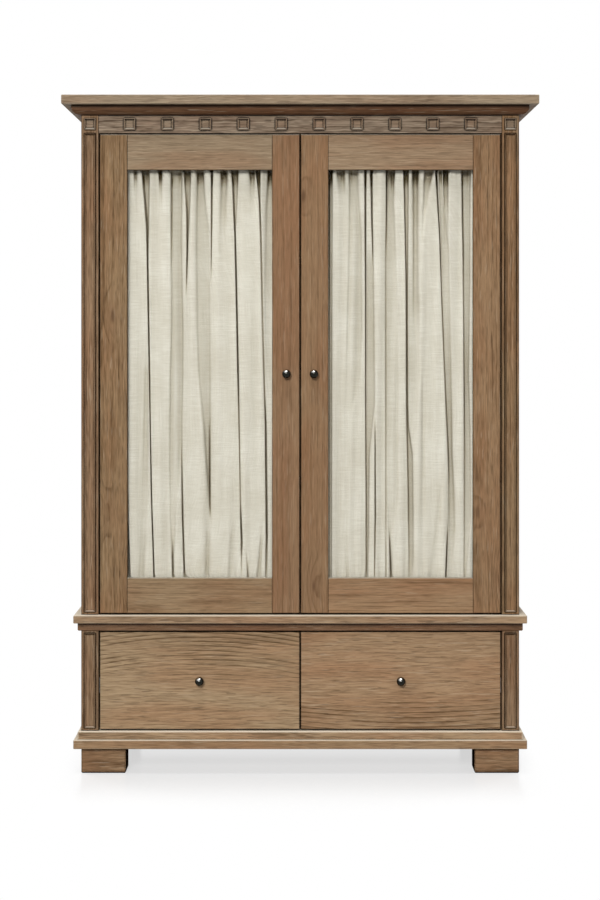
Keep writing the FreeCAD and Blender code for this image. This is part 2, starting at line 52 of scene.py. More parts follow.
picture_rows = 900
shift_up, shift_across = -120, -0.2  # of the frame, in picture rows

camera_data = bpy.data.cameras.new("view")
camera_data.sensor_width = 36
camera_data.lens = camera_data.sensor_width * view_distance / frame_height
camera_data.shift_x = shift_across / picture_rows
camera_data.shift_y = shift_up / picture_rows
camera_data.clip_end = 60
camera = bpy.data.objects.new("view", camera_data)
camera.location = (0, case_front - view_distance, eye_height)
camera.rotation_euler = (math.radians(90), 0, 0)
bpy.context.scene.collection.objects.link(camera)
bpy.context.scene.camera = camera
bpy.context.scene.view_settings.view_transform = "Standard"

# The studio. A large soft lamp stands far off at the upper left and one hangs overhead. A weak one at the
# right fills their shadows, two behind light the sides and the back, and a pale surround gives the rest.
# Camera, gloss and glass see it white.


def lamp(name, place, aim, size, power):
    """A square soft lamp that faces its aim."""
    data = bpy.data.lights.new(name, "AREA")
    data.size = size
    data.energy = power
    made = bpy.data.objects.new(name, data)
    made.location = place
    made.rotation_euler = (Vector(aim) - Vector(place)).to_track_quat("-Z", "Y").to_euler()
    bpy.context.scene.collection.objects.link(made)


lamp("key_lamp", (-1.6, -9.4, 4.5), aim=(0, 0, 1.1), size=2.0, power=640)
lamp("top_lamp", (-0.4, -1.7, 6.5), aim=(0, -0.2, 1.0), size=2.2, power=150)
lamp("fill_lamp", (3.4, -4.6, 2.0), aim=(0, 0, 1.0), size=2.4, power=10)
SIDES = (("left", -1), ("right", 1))  # with the sign of their x
for side, sign in SIDES:
    lamp(side + "_back_lamp", (5.6 * sign, 5.2, 3.2), aim=(0, 0, 1.0), size=3.0, power=230)


def add(tree, kind, inputs=(), **settings):
    """A shader node with its settings and inputs. An input that is a socket is linked."""
    made = tree.nodes.new("ShaderNode" + kind)
    for name, value in settings.items():
        setattr(made, name, value)
    for name, value in dict(inputs).items():
        if isinstance(value, bpy.types.NodeSocket):
            tree.links.new(value, made.inputs[name])
        else:
            made.inputs[name].default_value = value
    return made


def calc(tree, operation, *values):
    """One step of arithmetic between values or sockets."""
    return add(tree, "Math", dict(enumerate(values)), operation=operation).outputs[0]


def seen_white(tree):
    """1 for the rays by which camera, gloss and glass see a thing, and 0 for those that light the cabinet."""
    rays = add(tree, "LightPath").outputs
    seen = calc(tree, "MAXIMUM", rays["Is Camera Ray"], rays["Is Glossy Ray"])
    return calc(tree, "MAXIMUM", seen, rays["Is Transmission Ray"])


surround = bpy.data.worlds.new("surround")
surround.use_nodes = True
tree = surround.node_tree
tree.nodes.clear()
ambient = add(tree, "Background", {"Color": (0.96, 0.97, 1.0, 1), "Strength": 0.18})
white = add(tree, "Background", {"Color": (1, 1, 1, 1), "Strength": 1.0})
mixed = add(tree, "MixShader", {0: seen_white(tree), 1: ambient.outputs[0], 2: white.outputs[0]})
add(tree, "OutputWorld", {"Surface": mixed.outputs[0]})
bpy.context.scene.world = surround

# The floor. A wide white sheet, smooth enough to mirror the feet faintly. Just around the cabinet it runs out
# into the white of the ground.
floor_reach = 14.0
white_beside = (0.62, 0.76)  # where the floor turns white, measured from under the cabinet's middle
white_before = (0.30, 0.95)
mirror_before = (0.72, 0.28)  # where the faint mirror fades in
mirror_share = 0.17
floor_mesh = bpy.data.meshes.new("floor")
built = bmesh.new()
bmesh.ops.create_grid(built, x_segments=8, y_segments=8, size=floor_reach)
built.to_mesh(floor_mesh)
built.free()
floor = bpy.data.objects.new("floor", floor_mesh)
bpy.context.scene.collection.objects.link(floor)


def new_material(name):
    """A material and its empty tree of nodes."""
    made = bpy.data.materials.new(name)
    made.use_nodes = True
    made.node_tree.nodes.clear()
    return made, made.node_tree


def between(tree, value, low, high, top=1.0):
    """A smooth rise from 0 at low to top at high."""
    inputs = {0: value, 1: low, 2: high, 4: top}
    return add(tree, "MapRange", inputs, interpolation_type="SMOOTHSTEP").outputs[0]


def vector(tree, operation, first, second=(0, 0, 0)):
    """One step of arithmetic between vectors."""
    return add(tree, "VectorMath", {0: first, 1: second}, operation=operation).outputs[0]


def split(tree, place):
    """The x, y and z of a place."""
    return add(tree, "SeparateXYZ", {0: place}).outputs


def spot_on_piece(tree):
    """Where a point of the surface lies on the cabinet."""
    return add(tree, "TexCoord").outputs["Object"]


paint, tree = new_material("floor_white")
apart = split(tree, vector(tree, "ABSOLUTE", spot_on_piece(tree)))
beside = between(tree, apart[0], *white_beside)
before = between(tree, apart[1], *white_before)
fade = calc(tree, "MAXIMUM", beside, before)
matt = add(tree, "BsdfDiffuse", {"Color": (0.42, 0.42, 0.42, 1)})
lit = add(tree, "BsdfDiffuse", {"Color": (0.28, 0.28, 0.28, 1)})
glow = add(tree, "Emission", {"Color": (1, 1, 1, 1), "Strength": 0.755})
shine = add(tree, "BsdfGlossy", {"Color": (0.85, 0.85, 0.85, 1), "Roughness": 0.18})
near = add(tree, "AddShader", {0: lit.outputs[0], 1: glow.outputs[0]})
mirror = between(tree, apart[1], *mirror_before, top=mirror_share)
near = add(tree, "MixShader", {0: mirror, 1: near.outputs[0], 2: shine.outputs[0]})
far = add(tree, "Emission", {"Color": (1, 1, 1, 1), "Strength": 1.0})
shown = add(tree, "MixShader", {0: fade, 1: near.outputs[0], 2: far.outputs[0]})
surface = add(tree, "MixShader", {0: seen_white(tree), 1: matt.outputs[0], 2: shown.outputs[0]})
add(tree, "OutputMaterial", {"Surface": surface.outputs[0]})
floor_mesh.materials.append(paint)

# Feet. Four solid oak blocks under the corners of the base, with a small bevel all round, glued and screwed
# up into the base board. The oak of the whole cabinet is brushed, weathered grey-brown and left matt.


def tone(red, green, blue):
    """A colour as a colour card gives it, from 0 to 255."""
    parts = (red / 255, green / 255, blue / 255)
    return tuple(c / 12.92 if c < 0.0404 else ((c + 0.055) / 1.055) ** 2.4 for c in parts)


def effect(name, inputs, outputs):
    """A shader node group with its sockets. Returns its tree, what comes in and what goes out."""
    group = bpy.data.node_groups.new(name, "ShaderNodeTree")
    kinds = {1: "NodeSocketFloat", 3: "NodeSocketVector", 4: "NodeSocketColor"}
    for label, value in inputs.items():
        kind = kinds[np.size(value)]
        group.interface.new_socket(label, in_out="INPUT", socket_type=kind).default_value = value
    for label in outputs:
        kind = kinds[4 if label == "Colour" else 1]
        group.interface.new_socket(label, in_out="OUTPUT", socket_type=kind)
    return group, group.nodes.new("NodeGroupInput").outputs, group.nodes.new("NodeGroupOutput").inputs


def give(tree, result, **values):
    """Sends values out of a group by the sockets of these names."""
    for label, value in values.items():
        tree.links.new(value, result[label])


def laid_over(tree, colour, *layers):
    """A colour with others laid over it in turn, each by its share."""
    for share, layer in layers:
        colour = add(tree, "Mix", {0: share, 6: colour, 7: layer}, data_type="RGBA").outputs[2]
    return colour


def times(tree, first, *others):
    """Values or sockets multiplied with one another."""
    for other in others:
        first = calc(tree, "MULTIPLY", first, other)
    return first


def stretched(tree, place, along, across, detail, roughness=0.5, colour=False):
    """Noise drawn out along the grain. along and across are in waves per metre."""
    scaled = vector(tree, "MULTIPLY", place, (along, across, across))
    inputs = {"Vector": scaled, "Scale": 1.0, "Detail": detail, "Roughness": roughness}
    return add(tree, "TexNoise", inputs).outputs["Color" if colour else "Fac"]


# In the group, X runs along the grain and the tree's pith lies on the X axis. Rings are bowed, lie still
# inside the calm radius, and swirl round knots. Fibres, strands, pores and pale flecks lie along them.
oak_grain, given, result = effect(
    "oak_grain",
    {"Place": (0, 0, 0), "Ring gap": 0.007, "Bow": 0.0, "Figure": 1.0, "Calm radius": 0.0, "Fibre": 1.0,
     "Knots": 0.0, "Light wood": (0.4, 0.3, 0.2, 1), "Dark wood": (0.2, 0.13, 0.08, 1),
     "Warm wood": (0.3, 0.2, 0.12, 1)},
    ("Colour", "Roughness", "Height"),
)
pore_dark = (0.050, 0.030, 0.018, 1)
fleck_pale = (0.60, 0.49, 0.35, 1)
swirl_brown = (0.17, 0.085, 0.045, 1)
knot_dark = (0.060, 0.030, 0.018, 1)
tree = oak_grain
place = given["Place"]
moved = place
for along, across, reach in ((1.1, 6.0, 0.017), (9.0, 70.0, 0.0018)):
    sway = vector(tree, "SUBTRACT", stretched(tree, place, along, across, 2, colour=True), (0.5, 0.5, 0.5))
    moved = vector(tree, "ADD", moved, vector(tree, "MULTIPLY", sway, (reach, reach, reach)))
cells = vector(tree, "MULTIPLY", moved, (5.0, 17.0, 17.0))
cells = add(tree, "TexVoronoi", {"Vector": cells, "Scale": 1.0}).outputs
chosen = times(tree, given["Knots"], between(tree, split(tree, cells["Color"])[0], 0.50, 0.56))
swirl = times(tree, chosen, between(tree, cells["Distance"], 0.55, 0.05))
knot = times(tree, chosen, between(tree, cells["Distance"], 0.15, 0.05))
parts = split(tree, moved)
radius = calc(tree, "ADD", calc(tree, "POWER", parts[1], 2.0), calc(tree, "POWER", parts[2], 2.0))
radius = calc(tree, "SQRT", radius)
bowed = times(tree, given["Bow"], calc(tree, "POWER", parts[0], 2.0))
bowed = calc(tree, "MULTIPLY_ADD", swirl, 0.016, bowed)
ring_share = calc(tree, "FRACT", calc(tree, "DIVIDE", calc(tree, "ADD", radius, bowed), given["Ring gap"]))
early = add(tree, "ValToRGB", {0: ring_share})
for spot, height in ((0.0, 0.75), (0.06, 1.0), (0.22, 0.20), (0.88, 0.0), (1.0, 0.75)):
    if spot in (0.0, 1.0):
        mark = early.color_ramp.elements[int(spot)]
    else:
        mark = early.color_ramp.elements.new(spot)
    mark.color = (height, height, height, 1)
early = early.outputs[0]
fibre = stretched(tree, place, 16.0, 240.0, 3, 0.6)
strands = stretched(tree, place, 1.8, 60.0, 2)
fine = stretched(tree, place, 26.0, 480.0, 2, 0.6)
cloud = stretched(tree, place, 2.6, 12.0, 2)
pores = between(tree, stretched(tree, place, 18.0, 340.0, 1), 0.57, 0.66)
dashes = between(tree, stretched(tree, place, 19.0, 230.0, 1), 0.59, 0.64)
pores = calc(tree, "MAXIMUM", times(tree, pores, 0.6), dashes)
pores = times(tree, pores, calc(tree, "MULTIPLY_ADD", early, 0.5, 0.5))
flecks = between(tree, stretched(tree, place, 14.0, 280.0, 1), 0.62, 0.70)
patchy = between(tree, stretched(tree, place, 4.0, 22.0, 2), 0.30, 0.60)
calm_end = calc(tree, "MULTIPLY_ADD", given["Calm radius"], 1.6, 0.001)
calm = between(tree, radius, given["Calm radius"], calm_end)
figure = times(tree, early, given["Figure"], patchy, calm)
depth = calc(tree, "MULTIPLY_ADD", fibre, 1.5, -0.75)
depth = calc(tree, "ADD", depth, calc(tree, "MULTIPLY_ADD", fine, 1.0, -0.5))
depth = calc(tree, "ADD", depth, calc(tree, "MULTIPLY_ADD", strands, 0.35, -0.175))
depth = calc(tree, "MULTIPLY_ADD", depth, given["Fibre"], calc(tree, "MULTIPLY_ADD", figure, 0.66, 0.22))
depth = calc(tree, "MINIMUM", calc(tree, "MAXIMUM", depth, 0.0), 1.0)
base = laid_over(
    tree,
    given["Light wood"],
    (between(tree, cloud, 0.36, 0.66), given["Warm wood"]),
    (depth, given["Dark wood"]),
    (times(tree, pores, given["Fibre"], 0.42), pore_dark),
    (times(tree, flecks, given["Fibre"], 0.21), fleck_pale),
    (times(tree, swirl, 0.30), swirl_brown),
    (times(tree, knot, 0.65), knot_dark),
)
rough = calc(tree, "MULTIPLY_ADD", fibre, 0.22, 0.50)
height = calc(tree, "SUBTRACT", times(tree, fibre, 0.35), calc(tree, "MULTIPLY_ADD", figure, 0.35, pores))
give(tree, result, Colour=base, Roughness=rough, Height=height)


def facing(tree, line):
    """How far a surface faces along a line, from -1 to 1."""
    normal = add(tree, "TexCoord").outputs["Normal"]
    return add(tree, "VectorMath", {0: normal, 1: line}, operation="DOT_PRODUCT").outputs["Value"]


# Masks for what lies over the grain: corners, rubbed pale where worn and as a painted highlight, or darkened
# by painted shade; ledges, made pale by painted light from above; faces that look down and hollows, darkened
# by painted shade; and end grain, which drinks stain.
edge_wear, given, result = effect(
    "edge_wear",
    {"Reach": 0.003, "Hollow reach": 0.02, "Hollow depth": 0.4, "Grain": (1, 0, 0)},
    ("Edge", "Ledge", "Under", "Hollow", "End"),
)
tree = edge_wear
inputs = {"Distance": given["Reach"]}
inside = add(tree, "AmbientOcclusion", inputs, samples=4, inside=True, only_local=True).outputs["AO"]
around = add(tree, "AmbientOcclusion", {"Distance": given["Hollow reach"]}, samples=6).outputs["AO"]
upward = split(tree, add(tree, "NewGeometry").outputs["Normal"])[2]
along_grain = calc(tree, "ABSOLUTE", facing(tree, given["Grain"]))
give(tree, result, Edge=between(tree, inside, 0.98, 0.55), Ledge=between(tree, upward, 0.25, 0.80),
     Under=between(tree, upward, -0.15, -0.50), Hollow=between(tree, around, 0.96, given["Hollow depth"]),
     End=between(tree, along_grain, 0.75, 0.95))

ALONG_TURN = {"x": (0, 0, 0), "y": (0, 0, math.radians(-90)), "z": (0, math.radians(90), 0)}
INTO_WOOD = {"front": Vector((0, 1, 0)), "top": Vector((0, 0, -1)), "side": Vector((1, 0, 0))}


def grain_place(tree, nodes, along, face, behind, aside):
    """The place in the trunk that a piece is sawn from: the pith lies behind its face, aside of its middle."""
    corners = [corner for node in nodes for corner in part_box(node)]
    middle = sum(corners, Vector()) / len(corners)
    into = INTO_WOOD[face]
    axis = Vector([float(letter == along) for letter in "xyz"])
    pith = middle + into * behind + axis.cross(into) * aside
    turn = ALONG_TURN[along]
    spot = Matrix.Rotation(turn[1], 3, "Y") @ Matrix.Rotation(turn[2], 3, "Z") @ pith
    inputs = {"Vector": spot_on_piece(tree), "Rotation": turn, "Location": -spot}
    return add(tree, "Mapping", inputs).outputs[0]


# Shares of a piece's mean colour that its light, dark and warm wood have.
WOOD_SHARES = ((1.23, 1.28, 1.27), (0.47, 0.43, 0.38), (1.16, 1.07, 1.01))
# Colours laid over the grain: a pale for worn edges, painted edge highlights and the painted light on ledges;
# the stain of end grain, which also paints shade on inner end faces; and the painted shade of gap edges,
# hollows and faces that look down.
WEAR_AND_LIGHT_PALE = (0.45, 0.44, 0.38)
END_STAIN_AND_SHADE = (0.012, 0.007, 0.005, 1)
EDGE_SHADE = (0.004, 0.0025, 0.0015, 1)
HOLLOW_SHADE = (0.005, 0.003, 0.002, 1)
UNDER_SHADE = (0.008, 0.004, 0.002, 1)
CASE_HALF_WIDTH = 0.670
SOFT = 0.002  # how far a mask's border is drawn out


def away_from_middle(tree):
    """How far a point of the surface lies to the side of the cabinet's middle."""
    return calc(tree, "ABSOLUTE", split(tree, spot_on_piece(tree))[0])


def surface_of(tree, colour, roughness, height, strength, distance, **more):
    """Fills a material in with a surface that has a fine relief."""
    bump = add(tree, "Bump", {"Strength": strength, "Distance": distance, "Height": height}).outputs[0]
    inputs = {"Base Color": colour, "Roughness": roughness, "Normal": bump}
    shader = add(tree, "BsdfPrincipled", inputs | more)
    add(tree, "OutputMaterial", {"Surface": shader.outputs[0]})


def finish_wood(tree, place, grain_line, mean, gap=0.008, bow=0.0, figure=1.0, calm=0.0, fibre=1.0, knots=0.0,
                rough=0.0, sheen=0.12, reach=0.003, wear=0.35, stain=0.0, joints=None, ledge=0.3,
                ledge_outside=False, hollow_reach=0.02, hollow_depth=0.45, under=0.0, end=0.45,
                inner_end=None):
    """Fills a wood material in from the place of each point in the trunk.

    joints is a node group that keeps the painted edge shade out of closed joints. ledge_outside puts the
    painted ledge light only on what lies outside the case. inner_end paints shade on the end grain that lies
    nearer to the cabinet's middle than it.
    """
    mean = tone(*mean)
    light, dark, warm = (tuple(min(1, c * k) for c, k in zip(mean, share)) + (1,) for share in WOOD_SHARES)
    pale = tuple(0.6 * c + dust for c, dust in zip(light, WEAR_AND_LIGHT_PALE)) + (1,)
    grain = {"Place": place, "Ring gap": gap, "Bow": bow, "Figure": figure, "Calm radius": calm,
             "Fibre": fibre, "Knots": knots, "Light wood": light, "Dark wood": dark, "Warm wood": warm}
    grain = add(tree, "Group", grain, node_tree=oak_grain).outputs
    masks = {"Reach": reach, "Hollow reach": hollow_reach, "Hollow depth": hollow_depth, "Grain": grain_line}
    masks = add(tree, "Group", masks, node_tree=edge_wear).outputs
    ends = times(tree, masks["End"], end)
    # Painted shade on end grain that faces the cabinet's middle.
    if inner_end:
        inner = between(tree, away_from_middle(tree), inner_end + 0.02, inner_end)
        ends = calc(tree, "MAXIMUM", ends, times(tree, inner, masks["End"]))
    layers = [(ends, END_STAIN_AND_SHADE)]
    # Pale edges: worn arrises, and a painted highlight on them.
    if wear:
        layers.append((times(tree, masks["Edge"], wear), pale))
    # Painted shade along the edges, which darkens the gaps between parts.
    if stain:
        stained = times(tree, masks["Edge"], stain)
        if joints:
            stained = times(tree, stained, add(tree, "Group", node_tree=joints).outputs["Open"])
        layers.append((stained, EDGE_SHADE))
    # Painted shade in hollows, corners and gaps and under overhangs.
    layers.append((masks["Hollow"], HOLLOW_SHADE))
    # Painted shade on faces that look down.
    if under:
        layers.append((times(tree, masks["Under"], under), UNDER_SHADE))
    # Painted light: faces that look up are made pale, as if lit from above.
    ledge_lit = times(tree, masks["Ledge"], ledge)
    if ledge_outside:
        beside = between(tree, away_from_middle(tree), CASE_HALF_WIDTH - SOFT, CASE_HALF_WIDTH + SOFT)
        before = between(tree, split(tree, spot_on_piece(tree))[1], case_front + 2 * SOFT, case_front)
        ledge_lit = times(tree, ledge_lit, calc(tree, "MAXIMUM", beside, before))
    layers.append((ledge_lit, pale))
    roughness = calc(tree, "ADD", grain["Roughness"], rough)
    surface_of(tree, laid_over(tree, grain["Colour"], *layers), roughness, grain["Height"], strength=0.5,
               distance=0.0008, **{"Specular IOR Level": sheen})


def dress(nodes, material):
    """Gives CAD nodes one material."""
    for node in nodes:
        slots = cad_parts[node].data.materials
        slots.clear()
        slots.append(material)


def wood(name, nodes, along, mean, face="front", behind=0.09, aside=0.01, **finish):
    """A wood of its own for CAD pieces of like grain."""
    made, tree = new_material(name)
    place = grain_place(tree, nodes, along, face, behind, aside)
    finish_wood(tree, place, [float(letter == along) for letter in "xyz"], mean, **finish)
    dress(nodes, made)


# The feet take painted shade along their edges, under the base board and on the end grain that faces the
# cabinet's middle.
wood("feet_oak", ["feet"], "x", (149, 119, 91), behind=0.16, aside=0.05, gap=0.009, fibre=1.3, wear=0.0,
     stain=0.85, hollow_reach=0.014, end=0.35, inner_end=0.55, sheen=0.0)

# Base. A board with a small rounded edge lies on the feet. A narrower frame with a sloped nose lies on the
# board, and the case stands in it. Its front corners are mitred, so the grain turns there.


def framed_wood(name, node, mean, gap=0.007, figure=0.8, ledge=0.5, hollow_depth=0.4, **finish):
    """Wood that runs along the front and turns into the sides at the mitres."""
    low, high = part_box(node)
    made, tree = new_material(name)
    front = grain_place(tree, [node], "x", "front", behind=0.33, aside=0.03)
    sides = grain_place(tree, [node], "y", "side", behind=0.75, aside=0.02)
    parts = split(tree, spot_on_piece(tree))
    reach = calc(tree, "ADD", calc(tree, "ABSOLUTE", parts[0]), parts[1])
    turned = calc(tree, "GREATER_THAN", reach, high.x + low.y)
    place = add(tree, "Mix", {0: turned, 4: front, 5: sides}, data_type="VECTOR").outputs[1]
    finish_wood(tree, place, (0, 0, 0), mean, gap=gap, figure=figure, ledge=ledge, hollow_depth=hollow_depth,
                end=0.0, **finish)
    dress([node], made)


# The base board and frame take strong painted light on the faces that look up.
wood("base_board_oak", ["base_board"], "x", (152, 123, 93), behind=0.30, aside=0.02, gap=0.010, figure=0.9,
     wear=0.4, ledge=0.9)
framed_wood("base_frame_oak", "base_frame", (165, 137, 107), gap=0.009, wear=0.4, ledge=0.95,
            hollow_reach=0.004, hollow_depth=0.3)

# Lower case. Corner posts with a raised border on their face, side panels, a thin back let into rebates, a
# divider between the drawers and battens for the runners, all of solid oak but the back, which is veneered
# board.
side_tone = (143, 116, 89)
back_tone = (136, 108, 82)
inner_tone = (168, 145, 112)  # wood that the sun doesn't reach
# The posts take painted shade along their edges, in the hollows of their raised border and on faces that look
# down.
post_finish = dict(gap=0.006, wear=0.0, stain=0.95, reach=0.0028, hollow_reach=0.0035, hollow_depth=0.70,
                   under=0.75, sheen=0.0)
for side, mean, behind, aside in (
    ("left", (142, 115, 90), 0.05, 0.03),
    ("right", (140, 113, 88), 0.06, -0.02),
):
    piece = side + "_lower_post"
    wood(piece + "_oak", [piece], "z", mean, behind=behind, aside=aside, **post_finish)
for side, behind, aside in (("left", 0.09, 0.04), ("right", -0.08, -0.05)):
    piece = side + "_lower_side"
    wood(piece + "_oak", [piece], "y", side_tone, face="side", behind=behind, aside=aside)
wood("lower_back_veneer", ["lower_back_panel"], "x", back_tone, behind=-0.12, aside=0.05, gap=0.011, wear=0.2)
wood("inner_batten_wood", ["runner_battens", "drawer_divider"], "y", inner_tone, face="side", wear=0.2)

# Waist. A mitred frame like that on the base, but upside down, closes the lower case. The board on it
# overhangs the case all round but at the back, and the upper case stands on it. Both are of solid oak.
# The waist frame is given a darker tone than the base frame, and a deep painted shade under the overhang of
# the waist board.
framed_wood("waist_frame_oak", "waist_frame", (141, 106, 79), wear=0.0, hollow_reach=0.050, hollow_depth=0.72)
# The waist board takes painted light on its top where it lies outside the case.
wood("waist_board_oak", ["waist_board"], "x", (160, 133, 105), behind=0.28, aside=-0.03, gap=0.009, figure=0.8,
     wear=0.4, ledge=0.95, ledge_outside=True)

# Upper case. Posts with a raised border and side panels of upright boards stand round a veneered back. The
# frieze rail runs over the doors, and the ceiling closes the case behind it.
for side, mean, behind, aside in (
    ("left", (141, 113, 88), 0.04, 0.035),
    ("right", (141, 114, 86), 0.05, -0.03),
):
    piece = side + "_upper_post"
    wood(piece + "_oak", [piece], "z", mean, behind=behind, aside=aside, **post_finish)
for side, behind, aside in (("left", 0.10, 0.05), ("right", -0.11, -0.06)):
    piece = side + "_upper_side"
    wood(piece + "_oak", [piece], "z", side_tone, face="side", behind=behind, aside=aside)
wood("upper_back_veneer", ["upper_back_panel"], "z", back_tone, behind=-0.14, aside=0.08, gap=0.012, wear=0.2)
# The frieze takes painted shade along its edges and in the hollows under the moulding and round the rosettes.
wood("frieze_oak", ["frieze_rail"], "x", (134, 115, 97), behind=0.07, aside=0.02, gap=0.007, figure=1.5,
     fibre=1.6, wear=0.0, stain=0.6, reach=0.0016, hollow_reach=0.0065, hollow_depth=0.68)
wood("ceiling_oak", ["ceiling_panel"], "x", inner_tone, face="top", behind=-0.10, wear=0.2)

# Rosettes. Twelve small square oak tiles, each cut with a sunk middle. Ten are glued in a row to the frieze,
# and one to the head of each post.
# The tiles take painted shade on their edges, in their sunk middles and on faces that look down.
wood("rosette_oak", ["square_rosettes"], "x", (137, 117, 97), behind=0.05, gap=0.005, figure=0.5, wear=0.0,
     stain=0.6, reach=0.0010, ledge=0.6, hollow_reach=0.0046, hollow_depth=0.88, end=0.2, under=0.85)

# Cornice. A quarter-round oak moulding, mitred at the corners, goes round the front and the sides. It is
# glued under a plain board with a deep overhang.
# The moulding's mean colour is made much darker than the other oak: painted shade for the shadow under the
# board's overhang.
framed_wood("cornice_moulding_oak", "cornice_moulding", (97, 68, 47), figure=0.7, wear=0.0)
wood("cornice_board_oak", ["cornice_board"], "x", (141, 122, 100), behind=0.36, aside=-0.02, gap=0.010,
     figure=0.6, wear=0.45)

# Shelves. Three planed oak boards lie loose on oak cleats, two to a shelf, which are screwed to the sides.
# Their wood has stayed pale, because no sun reaches it.
for level, aside in (("lower", 0.03), ("middle", -0.05), ("upper", 0.08)):
    wood("shelf_" + level + "_oak", ["shelf_" + level], "x", inner_tone, face="top", behind=0.12, aside=aside)
wood("cleat_oak", ["shelf_cleats"], "y", inner_tone, face="side", behind=0.70, wear=0.3)

# Drawer fronts. Two wide boards of flat-sawn oak. The arcs of the grain rise in the middle of the left one,
# and they sag in the right one, which lies the other way round.
# Drawer fronts and doors take painted shade along their edges, which darkens the gaps round them, and in
# hollows.
front_finish = dict(wear=0.0, stain=1.0, reach=0.0024, hollow_reach=0.008, hollow_depth=0.62, sheen=0.0)
for side, mean, behind, aside, gap, bow, calm in (
    ("left", (162, 136, 107), 0.10, -0.27, 0.0135, 0.30, 0.25),
    ("right", (160, 130, 101), 0.12, 0.30, 0.014, 0.16, 0.30),
):
    piece = side + "_drawer_front"
    wood(piece + "_oak", [piece], "x", mean, behind=behind, aside=aside, gap=gap, bow=bow, calm=calm,
         figure=2.4, ledge=0.0, **front_finish)

# Drawer boxes. Walls of a pale, planed hardwood are joined by through dovetails at all four corners. A thin
# bottom board sits in a groove round their foot.
wall_tone = (176, 151, 117)
bottom_tone = (168, 143, 110)
wall_finish = dict(gap=0.006, figure=0.5, wear=0.25, rough=-0.08)
for side in ("left", "right"):
    box = side + "_drawer"
    wood(box + "_sides_wood", [box + "_sides"], "y", wall_tone, face="side", behind=0.35, **wall_finish)
    wood(box + "_ends_wood", [box + "_ends"], "x", wall_tone, behind=0.40, **wall_finish)
    wood(box + "_bottom_wood", [box + "_bottom"], "y", bottom_tone, face="top", behind=0.20, gap=0.009,
         figure=0.5, wear=0.1, rough=-0.05)

# Doors. Stiles and rails of solid oak, mortised and tenoned. The stiles are a little redder than the rails.
# Where they meet, the joint is glued shut and leaves no gap, so the painted edge shade is kept out of it. Oak
# beads hold the glass from behind.
opening_edges = (0.529, 0.086)  # how far the sides of each opening lie from the cabinet's middle
opening_middle, opening_half_height = 1.2215, 0.6245
closed_joints, _, result = effect("closed_joints", {}, ("Open",))
tree = closed_joints
height = calc(tree, "SUBTRACT", split(tree, spot_on_piece(tree))[2], opening_middle)
height = calc(tree, "ABSOLUTE", height)
beyond = between(tree, height, opening_half_height, opening_half_height + SOFT)
kept_open = 1.0
for edge in opening_edges:
    away = calc(tree, "ABSOLUTE", calc(tree, "SUBTRACT", away_from_middle(tree), edge))
    closed = times(tree, between(tree, away, 0.005, 0.003), beyond)
    kept_open = times(tree, kept_open, calc(tree, "MULTIPLY_ADD", closed, -0.8, 1.0))
give(tree, result, Open=kept_open)

# Each: the line of its grain, mean colour, how far the pith lies behind and aside, gap of the rings, figure,
# fibre and knots.
door_woods = {
    "left_door_hinge_stile": ("z", (138, 111, 83), 0.05, 0.02, 0.007, 1.0, 1.0, 0.8),
    "left_door_meeting_stile": ("z", (140, 110, 84), 0.09, -0.05, 0.009, 0.6, 0.55, 0.0),
    "left_door_top_rail": ("x", (147, 126, 103), 0.12, 0.07, 0.007, 0.4, 0.7, 0.0),
    "left_door_bottom_rail": ("x", (147, 122, 95), 0.06, -0.03, 0.008, 0.7, 0.7, 0.0),
    "right_door_hinge_stile": ("z", (143, 113, 85), 0.06, 0.03, 0.007, 1.0, 0.9, 0.6),
    "right_door_meeting_stile": ("z", (140, 110, 83), 0.08, 0.05, 0.009, 0.6, 0.55, 0.9),
    "right_door_top_rail": ("x", (149, 125, 101), 0.14, -0.08, 0.007, 0.4, 0.7, 0.0),
    "right_door_bottom_rail": ("x", (151, 121, 93), 0.05, 0.02, 0.008, 0.8, 0.7, 0.0),
}
# The doors' faces that look up, such as the top of the bottom rail, take the full painted ledge light.
for piece, (along, mean, behind, aside, gap, figure, fibre, knots) in door_woods.items():
    wood(piece + "_oak", [piece], along, mean, behind=behind, aside=aside, gap=gap, figure=figure, fibre=fibre,
         knots=knots, ledge=1.0, joints=closed_joints, **front_finish)
for side in ("left", "right"):
    wood(side + "_bead_oak", [side + "_door_beads"], "z", (143, 114, 87), behind=0.08, wear=0.3)

# Door glass. A 4 mm pane of low-reflection glass lies in a rebate at the back of each door, held by the
# beads. Its polish has faint smears. The light of the lamps goes straight through it.
glass, tree = new_material("clear_pane")
smears = between(tree, stretched(tree, spot_on_piece(tree), 3.0, 3.0, 3), 0.35, 0.75)
polish = calc(tree, "MULTIPLY_ADD", smears, 0.02, 0.005)
pane = add(tree, "BsdfPrincipled", {"Base Color": (0.97, 0.99, 0.98, 1), "Roughness": polish, "IOR": 1.10,
                                    "Transmission Weight": 1.0})
rays = add(tree, "LightPath").outputs
passing = calc(tree, "MAXIMUM", rays["Is Shadow Ray"], rays["Is Diffuse Ray"])
clear = add(tree, "BsdfTransparent", {"Color": (0.97, 0.98, 0.97, 1)})
surface = add(tree, "MixShader", {0: passing, 1: pane.outputs[0], 2: clear.outputs[0]})
add(tree, "OutputMaterial", {"Surface": surface.outputs[0]})
dress(["left_door_glass", "right_door_glass"], glass)

# Small metal parts. The runners, strikes, rods and screws are of steel, zinc-plated in a bath that leaves a
# cloudy spangle. The knobs and pivots are of steel too, blackened, with a painted highlight at their upper
# left.
metal_marks, given, result = effect("metal_marks", {"Spangle": 90.0}, ("Patches", "Scratches"))
tree = metal_marks
place = spot_on_piece(tree)
spangled = add(tree, "VectorMath", {0: place, "Scale": given["Spangle"]}, operation="SCALE").outputs[0]
scratches = stretched(tree, place, 60.0, 2600.0, 2)
give(tree, result, Patches=stretched(tree, spangled, 1.0, 1.0, 2), Scratches=scratches)
